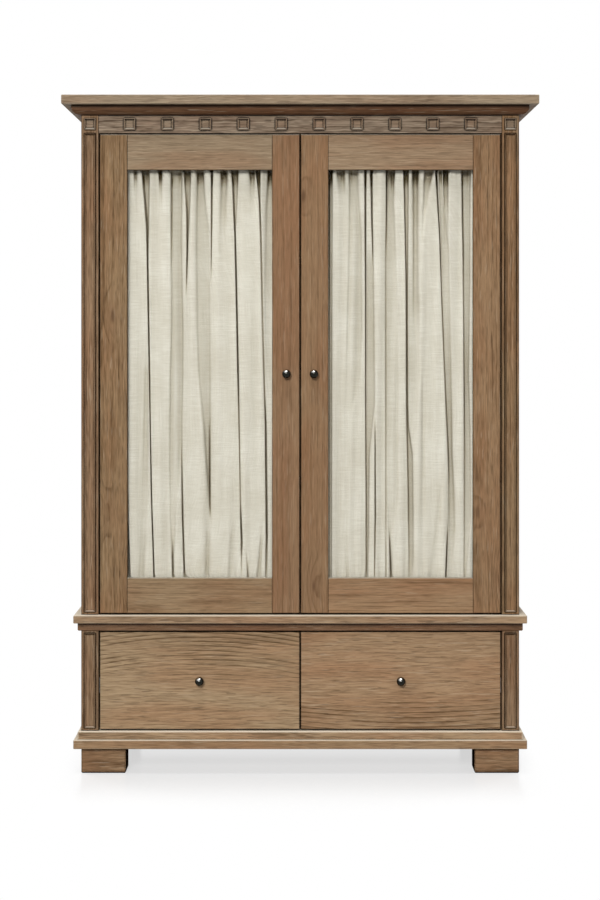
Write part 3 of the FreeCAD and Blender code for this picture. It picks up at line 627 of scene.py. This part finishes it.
# Where the painted highlight on the blackened parts lies, and its colour.
HIGHLIGHT_FROM = (-0.20, -0.66, 0.72)
HIGHLIGHT_TONE = (0.75, 0.75, 0.72, 1)


def metal(name, mean, shine, spangle, metallic=1.0, painted_highlight=0.0):
    """A metal, or a plastic, whose tone and shine vary a little in cloudy patches and fine scratches, with a
    painted highlight where it faces the upper left if asked.
    """
    made, tree = new_material(name)
    marks = add(tree, "Group", {"Spangle": spangle}, node_tree=metal_marks).outputs
    bright = tone(*mean) + (1,)
    dim = tuple(c * 0.72 for c in bright[:3]) + (1,)
    colour = laid_over(tree, dim, (between(tree, marks["Patches"], 0.30, 0.70), bright))
    # Painted highlight on the side that faces the upper left.
    if painted_highlight:
        share = times(tree, between(tree, facing(tree, HIGHLIGHT_FROM), 0.83, 0.96), painted_highlight)
        colour = laid_over(tree, colour, (share, HIGHLIGHT_TONE))
    rough = calc(tree, "MULTIPLY_ADD", marks["Patches"], 0.14, shine)
    surface_of(tree, colour, rough, marks["Scratches"], strength=0.12, distance=0.0002, Metallic=metallic)
    return made


zinc = metal("bright_zinc", (188, 190, 192), shine=0.26, spangle=90.0)
black_metal = metal("blackened_metal", (42, 42, 38), shine=0.10, spangle=160.0, painted_highlight=0.75)

# Runners. Each drawer hangs in two runners of three nested channels of 1.3 mm sheet steel. The fixed and the
# middle channels are bare strip. The channel on the drawer is bent with round corners and held by three
# flat-headed screws.
channel_webs = (604.3, 23.7)  # how far the outer and the inner web stand from the cabinet's middle, in mm
channel_heights = (244.9, 283.1)
channel_ends = (-220.5, 229.5)
channel_screws = (-190.0, 0.0, 200.0)
PAN_HEAD = ((-1.2, 0.0), (-1.2, 1.0), (1.1, 1.2), (1.2, 0.5), (1.6, 1.5), (1.9, 1.9), (1.7, 2.8), (1.1, 3.4),
            (0.0, 3.6), (-0.1, 2.0), (-1.2, 1.0))
dress(["runner_fixed_channels", "left_runner_middle_channels", "right_runner_middle_channels"], zinc)


def ring(built, middle, out, reach, radius, steps):
    """A ring of points round the line that runs from the middle along out."""
    out = Vector(out)
    first = out.orthogonal().normalized() if abs(out.z) > 0.5 else out.cross(Vector((0, 0, 1))).normalized()
    second = out.cross(first)
    centre = middle + out * reach
    if radius == 0:
        return [built.verts.new(centre)]
    turns = [math.tau * i / steps for i in range(steps)]
    return [built.verts.new(centre + (first * math.cos(a) + second * math.sin(a)) * radius) for a in turns]


def turn_round(built, profile, middle, out=(0, -1, 0), steps=48):
    """Turns a profile of (reach, radius) about the line that runs from the middle along out, in mm."""
    middle = Vector(middle) * MM
    rings = [ring(built, middle, out, reach * MM, radius * MM, steps) for reach, radius in profile]
    for first, second in zip(rings, rings[1:]):
        for i in range(steps):
            corners = (first[i % len(first)], first[(i + 1) % steps % len(first)],
                       second[(i + 1) % steps % len(second)], second[i % len(second)])
            built.faces.new(dict.fromkeys(corners))


def new_piece(name, built, material, body, stands_for, sharp=35):
    """Makes an object of what was built, and fixes it to the body that carries it."""
    bmesh.ops.recalc_face_normals(built, faces=built.faces)
    mesh = bpy.data.meshes.new(name)
    built.to_mesh(mesh)
    built.free()
    mesh.polygons.foreach_set("use_smooth", [True] * len(mesh.polygons))
    mesh.set_sharp_from_angle(angle=math.radians(sharp))
    mesh.materials.append(material)
    made = bpy.data.objects.new(name, mesh)
    bpy.context.scene.collection.objects.link(made)
    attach(made, body)
    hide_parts(stands_for)
    return made


def bent_channel(built, web_x, facing_x):
    """A channel of sheet with round bends. Its web stands at web_x, and its lips reach along facing_x."""
    sheet, reach, bend, rim = 1.3, 7.8, 2.0, 0.4
    low, high = channel_heights
    front, back = channel_ends
    turns = [math.radians(degrees) for degrees in range(15, 91, 15)]
    outline = [(reach, high), (bend, high)]
    outline += [(bend - bend * math.sin(a), high - bend + bend * math.cos(a)) for a in turns]
    outline += [(u, low + high - z) for u, z in reversed(outline)]
    inner = []
    middle = (low + high) / 2
    for u, z in outline:
        side = 1 if z > middle else -1
        in_bend = max(0.0, bend - u) / bend
        inner.append((u + sheet * in_bend, z - side * sheet * math.sqrt(max(0.0, 1 - in_bend**2))))
    loop = outline + inner[::-1]
    rows = [[built.verts.new((MM * (web_x + facing_x * u), MM * y, MM * z)) for u, z in loop]
            for y in (front, front + rim, back - rim, back)]
    for first, second in zip(rows, rows[1:]):
        for i in range(len(loop)):
            j = (i + 1) % len(loop)
            built.faces.new((first[i], first[j], second[j], second[i]))
    for row in (rows[0], rows[-1]):
        for i in range(len(outline) - 1):
            built.faces.new((row[i], row[i + 1], row[-i - 2], row[-i - 1]))
    for y in channel_screws:
        turn_round(built, PAN_HEAD, (web_x + facing_x * sheet, y, middle), out=(facing_x, 0, 0), steps=24)


for side, sign in SIDES:
    drawer = side + "_drawer"
    built = bmesh.new()
    for web, facing_x in zip(channel_webs, (sign, -sign)):
        bent_channel(built, sign * web, facing_x)
    new_piece(drawer + "_channels", built, zinc, drawer, drawer + "_hardware", sharp=50)

# Drawer knobs. Each is a black ball turned in one with its neck and foot, and held from inside by a screw
# with a six-sided head.
ball_radius, ball_reach = 13.5, 17.5
knob_x, knob_z = 307.5, 283.5
drawer_screw_seat = -212.5  # the face inside the drawer that the screw's head lies on
screw_radius, screw_grip = 2.0, 10.0
KNOB = [(0, 0), (0, 6.9), (0.3, 7.4), (0.8, 7.5), (1.3, 7.3), (1.8, 6.5), (2.5, 5.4), (3.4, 4.7), (4.3, 4.6)]
for turn in range(22, 180, 6):
    a = math.radians(turn)
    KNOB.append((ball_reach - ball_radius * math.cos(a), ball_radius * math.sin(a)))
KNOB.append((ball_reach + ball_radius, 0))
SCREW_HEAD = ((0, 0), (0, 3.8), (-0.25, 4.0), (-2.3, 4.0), (-2.8, 3.4), (-2.8, 2.2), (-2.5, 2.0), (-1.0, 2.0),
              (-1.0, 0))


def knob_and_screw(name, x, z, back, body, stands_for):
    """A ball knob on the front, and its screw from the face at y = back, in mm."""
    built = bmesh.new()
    turn_round(built, KNOB, (x, case_front / MM, z), steps=64)
    new_piece(name + "_knob", built, black_metal, body, stands_for, sharp=60)
    built = bmesh.new()
    turn_round(built, SCREW_HEAD, (x, back, z), steps=6)
    tip = back - case_front / MM + screw_grip
    shank = ((-0.5, 0), (-0.5, screw_radius), (tip - 0.5, screw_radius), (tip, 0.8 * screw_radius), (tip, 0))
    turn_round(built, shank, (x, back, z), steps=24)
    new_piece(name + "_knob_screw", built, zinc, body, stands_for)


for side, sign in SIDES:
    drawer = side + "_drawer"
    knob_and_screw(drawer, sign * knob_x, knob_z, drawer_screw_seat, drawer, drawer + "_hardware")

# Door fittings. A blackened plate with a pin is let into each end of the hinge stile. The pins turn in brass
# bushes in the case. A black ball knob and a steel strike for the catch sit on the meeting stile.
pivot_x, pivot_y = 583.0, -236.5
pivot_levels = (("lower", 489.0, -1), ("upper", 1954.0, 1))
plate_x, plate_y, plate_thickness = (549.0, 597.0), (-243.5, -229.5), 2.5
plate_screws = (570.0, 555.0)
strike_x, strike_y, strike_z = (20.0, 54.0), (-225.5, -224.0), (1942.0, 1952.0)
door_knob_x, door_knob_z, door_screw_seat = 42.0, 1222.0, -225.5
PIN = ((-0.5, 0), (-0.5, 3.0), (18.9, 3.0), (19.7, 2.3), (19.7, 0))
SUNK_HEAD = ((-0.6, 0), (-0.6, 1.2), (0.05, 1.5), (0.15, 3.0), (0.0, 3.3), (-0.4, 3.3))
brass = metal("plain_brass", (199, 158, 84), shine=0.24, spangle=70.0)
dress(["pivot_bushes"], brass)


def rounded_block(built, sign, x, y, z, axis, rounding, edge=0.25):
    """A block over three spans, in mm, rounded about one axis and bevelled. Its x is mirrored by the sign."""
    spans = ((sign * x[0], sign * x[1]), y, z)
    low, high = (Vector([pick(span) for span in spans]) * MM for pick in (min, max))
    size = high - low
    block = bmesh.new()
    placed = Matrix.Translation((low + high) / 2) @ Matrix.Diagonal((*size, 1))
    bmesh.ops.create_cube(block, size=1, matrix=placed)
    upright = [e for e in block.edges if abs((e.verts[0].co - e.verts[1].co)[axis]) > size[axis] / 2]
    bmesh.ops.bevel(block, geom=upright, offset=rounding * MM, segments=6, profile=0.5, affect="EDGES")
    rims = [e for e in block.edges if e.calc_face_angle(0) > 1.2]
    bmesh.ops.bevel(block, geom=rims, offset=edge * MM, segments=2, profile=0.5, affect="EDGES")
    mesh = bpy.data.meshes.new("block")
    block.to_mesh(mesh)
    block.free()
    built.from_mesh(mesh)
    bpy.data.meshes.remove(mesh)


for side, sign in SIDES:
    door = side + "_door"
    for end, z, out in pivot_levels:
        built = bmesh.new()
        rounded_block(built, sign, plate_x, plate_y, (z, z - out * plate_thickness), axis=2, rounding=2.0)
        turn_round(built, PIN, (sign * pivot_x, pivot_y, z), out=(0, 0, out), steps=32)
        for x in plate_screws:
            turn_round(built, SUNK_HEAD, (sign * x, pivot_y, z), out=(0, 0, out), steps=24)
        new_piece(f"{side}_{end}_pivot", built, black_metal, door, door + "_hardware")
    built = bmesh.new()
    rounded_block(built, sign, strike_x, strike_y, strike_z, axis=1, rounding=2.5)
    new_piece(side + "_strike", built, zinc, door, door + "_hardware")
    knob_and_screw(door, sign * door_knob_x, door_knob_z, door_screw_seat, door, door + "_hardware")

# Magnetic catches. A moulded brown housing under the ceiling board holds a magnet between two steel pole
# strips. Its two ears take the screws.
housing_x, housing_y, housing_z = (25.0, 49.0), (-222.9, -208.5), (1941.0, 1958.0)
ear_middles, ear_half, ear_y, ear_z = (20.5, 53.5), 4.5, (-221.5, -211.0), (1955.0, 1958.0)
ear_screw_y = -216.2
pole_x, pole_y, pole_levels, pole_thickness = (27.0, 47.0), (-223.5, -221.0), (1944.5, 1951.5), 2.5
brown_plastic = metal("brown_plastic", (92, 74, 58), shine=0.42, spangle=220.0, metallic=0.0)
for side, sign in SIDES:
    built = bmesh.new()
    rounded_block(built, sign, housing_x, housing_y, housing_z, axis=1, rounding=1.5)
    for x in ear_middles:
        rounded_block(built, sign, (x - ear_half, x + ear_half), ear_y, ear_z, axis=2, rounding=3.0)
        turn_round(built, PAN_HEAD, (sign * x, ear_screw_y, ear_z[0]), out=(0, 0, -1), steps=24)
    new_piece(side + "_catch_housing", built, brown_plastic, "case", "magnet_catches")
    built = bmesh.new()
    for z in pole_levels:
        rounded_block(built, sign, pole_x, pole_y, (z, z + pole_thickness), axis=1, rounding=0.6, edge=0.15)
    new_piece(side + "_catch_poles", built, zinc, "case", "magnet_catches")

# Curtain rods. Thin zinc-plated steel rods run through the pockets of each curtain. Small brackets hold them
# on the back of each door, over and under the glass.
dress(["left_curtain_rods", "right_curtain_rods"], zinc)

# Curtains. One length of undyed linen for each door, with a plain weave of thick and thin threads. A narrow
# pocket at each end is gathered on a rod, so that deep folds run between the rods.
warp_threads, weft_threads = 900, 820  # to a metre
# The shade under the upper rod and in the set-back hollows is painted into the cloth's colour.
under_rod = (1.785, 1.845)  # the heights between which the shade of the upper rod grows
set_back = (-0.2195, -0.2045)  # the planes between which the hollows lie
linen_weave, given, result = effect(
    "linen_weave",
    {"Cloth place": (0, 0, 0)},
    ("Tone", "Fold", "Recess", "Height"),
)
tree = linen_weave
cloth_place = given["Cloth place"]
thick_weft = stretched(tree, cloth_place, 22.0, 330.0, 2, 0.6)
swapped = add(tree, "Mapping", {"Vector": cloth_place, "Rotation": (0, 0, math.radians(90))}).outputs[0]
thick_warp = stretched(tree, swapped, 9.0, 420.0, 2, 0.6)
washed = add(tree, "TexNoise", {"Vector": cloth_place, "Scale": 7.0, "Detail": 3.0}).outputs["Fac"]
threads = split(tree, cloth_place)
warp = calc(tree, "SINE", times(tree, threads[0], math.tau * warp_threads))
weft = calc(tree, "SINE", times(tree, threads[1], math.tau * weft_threads))
slubs = calc(tree, "ADD", times(tree, thick_weft, 0.55), times(tree, thick_warp, 0.45))
shade = calc(tree, "MULTIPLY_ADD", slubs, 0.62, calc(tree, "MULTIPLY_ADD", washed, 0.28, 0.05))
# Painted shade: the cloth is darkened where its own folds close round it, and more so under the upper rod and
# where it lies set back in the hollows.
folded = add(tree, "AmbientOcclusion", {"Distance": 0.024}, samples=8, only_local=True).outputs["AO"]
hidden = calc(tree, "POWER", calc(tree, "SUBTRACT", 1.0, folded), 1.3)
parts = split(tree, spot_on_piece(tree))
to_front = between(tree, facing(tree, (0, 1, 0)), 0.3, -0.1)
at_rod = times(tree, between(tree, parts[2], *under_rod), to_front)
hidden = times(tree, hidden, calc(tree, "MULTIPLY_ADD", at_rod, 2.5, 0.70))
recess = times(tree, between(tree, parts[1], *set_back), to_front)
relief = calc(tree, "MULTIPLY_ADD", times(tree, warp, weft), 0.25, slubs)
give(tree, result, Tone=shade, Fold=calc(tree, "MINIMUM", hidden, 1.0), Recess=recess, Height=relief)

light_thread = tone(244, 237, 226) + (1,)
dark_thread = tone(215, 205, 189) + (1,)
# Colours of painted shade: for cloth set back in the hollows, and for folds in half and in deep shade.
recess_shade = (0.210, 0.180, 0.110, 1)
half_dark_fold = (0.195, 0.130, 0.042, 1)
dark_fold = (0.055, 0.036, 0.011, 1)
linen, tree = new_material("undyed_linen")
cloth = add(tree, "Group", {"Cloth place": add(tree, "TexCoord").outputs["UV"]}, node_tree=linen_weave).outputs
half_dark = calc(tree, "MINIMUM", times(tree, cloth["Fold"], 1.6), 1.0)
colour = laid_over(
    tree,
    dark_thread,
    (between(tree, cloth["Tone"], 0.35, 0.75), light_thread),
    (times(tree, cloth["Recess"], 0.31), recess_shade),
    (times(tree, half_dark, 0.64), half_dark_fold),
    (calc(tree, "POWER", cloth["Fold"], 2.1), dark_fold),
)
surface_of(tree, colour, 0.9, cloth["Height"], strength=0.30, distance=0.0006, **{"Specular IOR Level": 0.08})

# Each fold: how soft its edges are, and on its way down the opening, from 0 at the top to 100 at the bottom,
# where its left and right edge run and how deep it is, in mm.
left_folds = (
    (4, (0, 19, 26, 11), (7, 19, 24, 4), (30, 17, 24, 0)),
    (2, (0, 42, 65, 14), (7, 50, 64, 13), (14, 56, 63, 13), (20, 59, 62, 9), (24, 59, 62, 0)),
    (0.9, (0, 41, 45, 15), (7, 49, 53, 18), (14, 56, 60, 20), (28, 59, 63, 20), (53, 64, 68, 18),
     (66, 67, 70, 13), (80, 70, 73, 16), (100, 78, 81, 20)),
    (4, (40, 57, 62, 0), (50, 52, 64, 9), (65, 47, 62, 9), (80, 41, 58, 6), (100, 34, 50, 4)),
    (3, (0, 94, 104, 14), (3, 96, 103, 9), (12, 97, 102, 0)),
    (2.5, (0, 132, 165, 15), (5, 132, 165, 12), (16, 134, 163, 11), (39, 133, 168, 11), (50, 129, 168, 10),
     (72, 127, 162, 8), (84, 129, 146, 7), (93, 132, 142, 7), (100, 135, 140, 8)),
    (0.9, (0, 131, 135, 12), (16, 131, 135, 11), (24, 131, 134, 6), (30, 131, 133, 0)),
    (0.9, (90, 135, 137, 0), (95, 135, 138, 13), (100, 136, 140, 17)),
    (0.9, (60, 163, 165, 0), (70, 163, 166, 7), (84, 165, 169, 15), (100, 171, 175, 20)),
    (2, (0, 171, 192, 15), (6, 176, 191, 13), (12, 180, 188, 12), (20, 180, 184, 8), (28, 178, 182, 0)),
    (0.9, (3, 176, 180, 0), (10, 180, 183, 14), (20, 180, 183, 16), (27, 178, 181, 6), (32, 177, 179, 0)),
    (3, (0, 212, 232, 16), (5, 212, 234, 12), (16, 209, 249, 8), (39, 212, 251, 8), (50, 217, 252, 9),
     (63, 232, 252, 11), (76, 243, 252, 11), (84, 248, 252, 4), (88, 250, 253, 0)),
    (0.9, (60, 248, 251, 0), (66, 248, 252, 12), (76, 248, 252, 20), (82, 250, 253, 12), (86, 251, 253, 0)),
    (4, (86, 246, 250, 0), (91, 240, 248, 7), (100, 238, 246, 7)),
    (0.9, (0, 255, 260, 14), (10, 255, 259, 12), (20, 254, 257, 9), (30, 253, 256, 0)),
    (4, (0, 284, 305, 15), (4, 286, 303, 9), (16, 280, 297, 3), (25, 280, 297, 0)),
    (2, (0, 317, 338, 16), (5, 322, 336, 12), (12, 325, 333, 8), (16, 327, 332, 0)),
    (0.9, (0, 319, 324, 16), (7, 322, 326, 19), (16, 327, 331, 20), (26, 330, 334, 20), (50, 336, 340, 18),
     (60, 339, 342, 8), (82, 344, 347, 6), (86, 345, 349, 18), (92, 347, 352, 20), (95, 347, 350, 6),
     (100, 347, 349, 3)),
    (4, (0, 374, 389, 14), (5, 376, 386, 6), (13, 375, 384, 0)),
    (1.2, (0, 392, 406, 17), (3, 397, 406, 17), (7, 402, 406, 17), (16, 406, 410, 11), (39, 412, 416, 8),
     (55, 418, 421, 9), (62, 421, 425, 17), (90, 424, 429, 20), (94, 423, 428, 13), (100, 422, 427, 8)),
    (4, (0, 432, 445, 16), (10, 424, 442, 9), (30, 420, 438, 5), (50, 421, 437, 4), (80, 425, 431, 0)),
    (1.2, (80, -13, -1, 0), (86, -13, 0, 20), (100, -13, 7, 22)),
    (1.5, (93, 362, 365, 0), (100, 367, 370, 12)),
    (4, (86, 320, 328, 0), (93, 312, 322, 6), (100, 308, 316, 6)),
    (3, (86, 411, 415, 0), (92, 406, 412, 8), (100, 397, 405, 8)),
    (4, (88, 45, 60, 0), (94, 40, 50, 4), (100, 36, 44, 5)),
)
right_folds = (
    (1.2, (0, 2, 13, 15), (5, 2, 13, 10), (30, 2, 12, 9), (100, 2, 11, 8)),
    (0.9, (0, 1, 5, 18), (30, 1, 5, 8), (50, 1, 4, 4), (100, 1, 4, 3)),
    (4, (0, 25, 50, 15), (3, 30, 50, 9), (7, 34, 50, 0)),
    (3, (0, 64, 92, 16), (5, 66, 92, 11), (16, 65, 102, 8), (39, 58, 104, 7), (50, 55, 98, 5), (60, 50, 72, 4),
     (90, 50, 57, 3), (100, 57, 64, 6)),
    (0.9, (0, 112, 117, 18), (20, 113, 117, 18), (30, 114, 117, 16), (57, 114, 117, 14), (80, 116, 119, 13),
     (100, 116, 119, 6)),
    (2, (18, 118, 134, 0), (24, 118, 139, 11), (35, 118, 141, 12), (57, 118, 143, 12), (64, 118, 134, 11),
     (70, 118, 127, 11), (90, 118, 125, 10), (100, 116, 122, 7)),
    (0.9, (0, 130, 136, 18), (12, 133, 137, 16), (20, 136, 139, 10), (26, 137, 140, 0)),
    (0.9, (60, 143, 145, 0), (68, 143, 146, 11), (85, 143, 147, 13), (100, 141, 144, 6)),
    (0.9, (0, 178, 183, 18), (10, 178, 182, 17), (16, 177, 181, 10), (22, 176, 180, 4), (50, 176, 180, 5)),
    (3, (0, 184, 204, 12), (6, 184, 200, 10), (16, 178, 206, 9), (28, 177, 211, 8), (57, 177, 214, 7),
     (80, 181, 214, 5), (90, 186, 198, 5), (100, 190, 198, 8)),
    (0.9, (88, 188, 190, 0), (93, 189, 192, 14), (100, 192, 196, 20)),
    (2, (0, 193, 205, 15), (3, 195, 203, 13), (8, 198, 202, 0)),
    (1.5, (0, 232, 247, 15), (5, 234, 247, 13), (16, 237, 246, 13), (28, 240, 245, 12), (57, 241, 246, 12),
     (63, 242, 248, 12), (70, 245, 260, 11), (85, 247, 262, 11), (95, 249, 262, 8), (100, 250, 261, 4)),
    (0.9, (0, 232, 236, 15), (16, 236, 239, 15), (28, 239, 242, 16), (60, 241, 244, 12), (80, 246, 249, 8),
     (95, 248, 251, 3)),
    (4, (22, 246, 264, 0), (33, 247, 280, 5), (50, 248, 284, 6), (63, 248, 267, 4), (72, 248, 265, 0)),
    (3, (0, 260, 277, 15), (6, 262, 276, 12), (20, 262, 276, 9), (32, 262, 278, 7), (42, 263, 280, 0)),
    (4, (45, 286, 293, 0), (55, 288, 295, 4), (70, 288, 295, 5), (90, 288, 295, 0)),
    (3, (0, 297, 325, 16), (5, 294, 309, 9), (11, 290, 297, 6), (20, 286, 291, 0)),
    (0.9, (0, 330, 335, 15), (7, 335, 339, 17), (16, 342, 345, 17), (28, 347, 350, 12), (45, 355, 358, 10),
     (57, 361, 365, 13), (70, 369, 373, 15), (76, 371, 374, 10), (84, 371, 374, 0)),
    (2.5, (0, 340, 350, 6), (7, 342, 352, 7), (12, 344, 362, 10), (20, 348, 371, 11), (39, 353, 375, 11),
     (57, 362, 380, 12), (70, 370, 382, 13), (78, 373, 387, 11), (88, 371, 390, 7), (100, 366, 380, 3)),
    (1.5, (0, 354, 370, 17), (5, 356, 369, 14), (12, 357, 369, 10), (20, 358, 369, 0)),
    (0.9, (86, 368, 371, 0), (92, 364, 368, 14), (100, 360, 364, 19)),
    (5, (70, 361, 366, 0), (80, 342, 350, 6), (100, 314, 325, 3)),
    (2, (0, 412, 440, 15), (5, 413, 437, 12), (28, 416, 436, 11), (50, 418, 432, 12), (63, 419, 437, 10),
     (85, 419, 439, 8), (100, 419, 424, 5)),
    (0.9, (0, 411, 415, 18), (12, 412, 416, 18), (20, 414, 418, 14), (28, 415, 418, 9), (55, 418, 421, 12),
     (70, 419, 422, 6), (100, 418, 420, 3)),
)

OPENING_TOP, OPENING_BOTTOM = 1846.0, 597.0
TOP_ROD, BOTTOM_ROD = 1868.0, 575.0
ROD_Y, CLOTH_Y = -209.5, -221.6
CLOTH_EDGES = (-7.7, 450.7)  # from the left side of the opening
DEEPEST = 24.0
COLUMNS, ROWS = 330, 90
NEAR_ROD, NEAR_ROWS = 16.0, 9  # where the rows lie closer, beside a rod
FLAP = 15.0
CLOTH_THICKNESS = 0.7
SLOW_WAVES = ((26.0, 0.6), (43.0, 1.4), (71.0, 2.4))  # length and height
GATHER_LENGTH, GATHER_HEIGHT, GATHER_REACH = 14.0, 3.0, 21.0  # of the fine gathers that fade away from a rod
ROOM_AT_ROD = 7.3  # how deep the gathers can lie on a rod


def fold_depth(folds, x, z, small):
    """How far the cloth lies behind its foremost plane at places x on one level, in mm."""
    t = (OPENING_TOP - z) / (OPENING_TOP - OPENING_BOTTOM)
    fuller = 1 + 0.8 * math.exp(-max(t, 0) / 0.03)  # folds are deeper just under the rod
    open_part = np.ones_like(x)
    for soft, *marks in folds:
        when, left, right, deep = zip(*marks)
        left, right, deep = (np.interp(100 * t, when, row) for row in (left, right, deep))
        deep = min(22.5, deep * fuller)
        wave = 0.25 * (1 + np.tanh((x - left) / soft)) * (1 + np.tanh((right - x) / soft))
        open_part = open_part * (1 - deep / DEEPEST * wave)
    depth = DEEPEST * (1 - open_part)
    for i, (length, height) in enumerate(SLOW_WAVES):
        lean = small[i] + 1.7 * math.sin(3.0 * t + small[i + 3])
        depth = depth + height * (1 + np.sin(math.tau * x / length + lean))
    near = min(abs(z - TOP_ROD), abs(z - BOTTOM_ROD))
    pull = GATHER_HEIGHT * math.exp(-near / GATHER_REACH)
    uneven = 1.8 * np.sin(x / 29.0 + small[6]) + 1.1 * np.sin(x / 11.0 + small[7])
    depth = depth + pull * (1 + np.sin(math.tau * x / GATHER_LENGTH + uneven))
    most = ROOM_AT_ROD + 25.0 * (near / 22.0) ** 2
    return most * np.tanh(depth / most)


def level_points(folds, z, small):
    """Points along the cloth on one level, closer where it bends, as x, depth and length along the cloth."""
    x = np.linspace(*CLOTH_EDGES, 3600)
    depth = fold_depth(folds, x, z, small)
    steps = np.hypot(np.diff(x), np.diff(depth))
    lean = np.arctan2(np.diff(depth), np.diff(x))
    bends = np.abs(np.diff(lean, prepend=lean[0]))
    length = np.concatenate(([0.0], np.cumsum(steps)))
    weight = np.concatenate(([0.0], np.cumsum(steps + 1.6 * bends)))
    even = np.linspace(0, weight[-1], COLUMNS)
    x_here = np.interp(even, weight, x)
    return x_here, fold_depth(folds, x_here, z, small), np.interp(even, weight, length)


def pocket(folds, rod_z, up, small):
    """The rows of one pocket, from the flap's end over the rod to the front."""
    x, depth, length = level_points(folds, rod_z, small)
    reach = ROD_Y - CLOTH_Y - depth
    made = []
    for drop in (FLAP, FLAP * 2 / 3, FLAP / 3):
        z = rod_z - up * drop
        share = drop / FLAP
        share = share * share * (3 - 2 * share)
        front = CLOTH_Y + fold_depth(folds, x, z, small) + 1.6
        made.append((x, (1 - share) * (ROD_Y + reach) + share * front, np.full(COLUMNS, z), length))
    for angle in range(0, 180, 18):
        a = math.radians(angle)
        made.append((x, ROD_Y + reach * math.cos(a), rod_z + up * reach * math.sin(a), length))
    return made


def curtain(side, folds, opening_x, small_seed):
    """A curtain from the back flap of its upper pocket, down the front, to the flap of its lower pocket."""
    small = np.random.default_rng(small_seed).uniform(0, math.tau, 8)
    close = NEAR_ROD * (1 - np.cos(np.linspace(0, math.pi / 2, NEAR_ROWS)))
    middle = np.linspace(TOP_ROD - close[-1], BOTTOM_ROD + NEAR_ROD, ROWS + 2)[1:-1]
    rows = pocket(folds, TOP_ROD, 1, small)
    for z in (*(TOP_ROD - close), *middle, *(BOTTOM_ROD + close[::-1])):
        x, depth, length = level_points(folds, z, small)
        rows.append((x, CLOTH_Y + depth, np.full(COLUMNS, z), length))
    rows += pocket(folds, BOTTOM_ROD, -1, small)[::-1]
    grid = np.array([np.stack(row[:3], axis=1) for row in rows])
    grid[:, :, 0] += opening_x
    down = np.linalg.norm(np.diff(grid, axis=0), axis=2).mean(axis=1)
    down = np.concatenate(([0.0], np.cumsum(down)))
    across = np.array([row[3] for row in rows])
    built = bmesh.new()
    layer = built.loops.layers.uv.new("cloth")
    points = [[built.verts.new(point) for point in row] for row in grid * MM]
    for i in range(len(points) - 1):
        for j in range(COLUMNS - 1):
            places = ((i, j), (i + 1, j), (i + 1, j + 1), (i, j + 1))
            face = built.faces.new([points[row][column] for row, column in places])
            for loop, (row, column) in zip(face.loops, places):
                loop[layer].uv = (across[row, column] * MM, -down[row] * MM)
    body = side + "_door"
    made = new_piece(side + "_linen_curtain", built, linen, body, side + "_curtain", sharp=180)
    thick = made.modifiers.new("cloth", "SOLIDIFY")
    thick.thickness = CLOTH_THICKNESS * MM
    thick.offset = 0
    return made


hung = curtain("left", left_folds, -529.0, 4)
hung = curtain("right", right_folds, 86.0, 9)
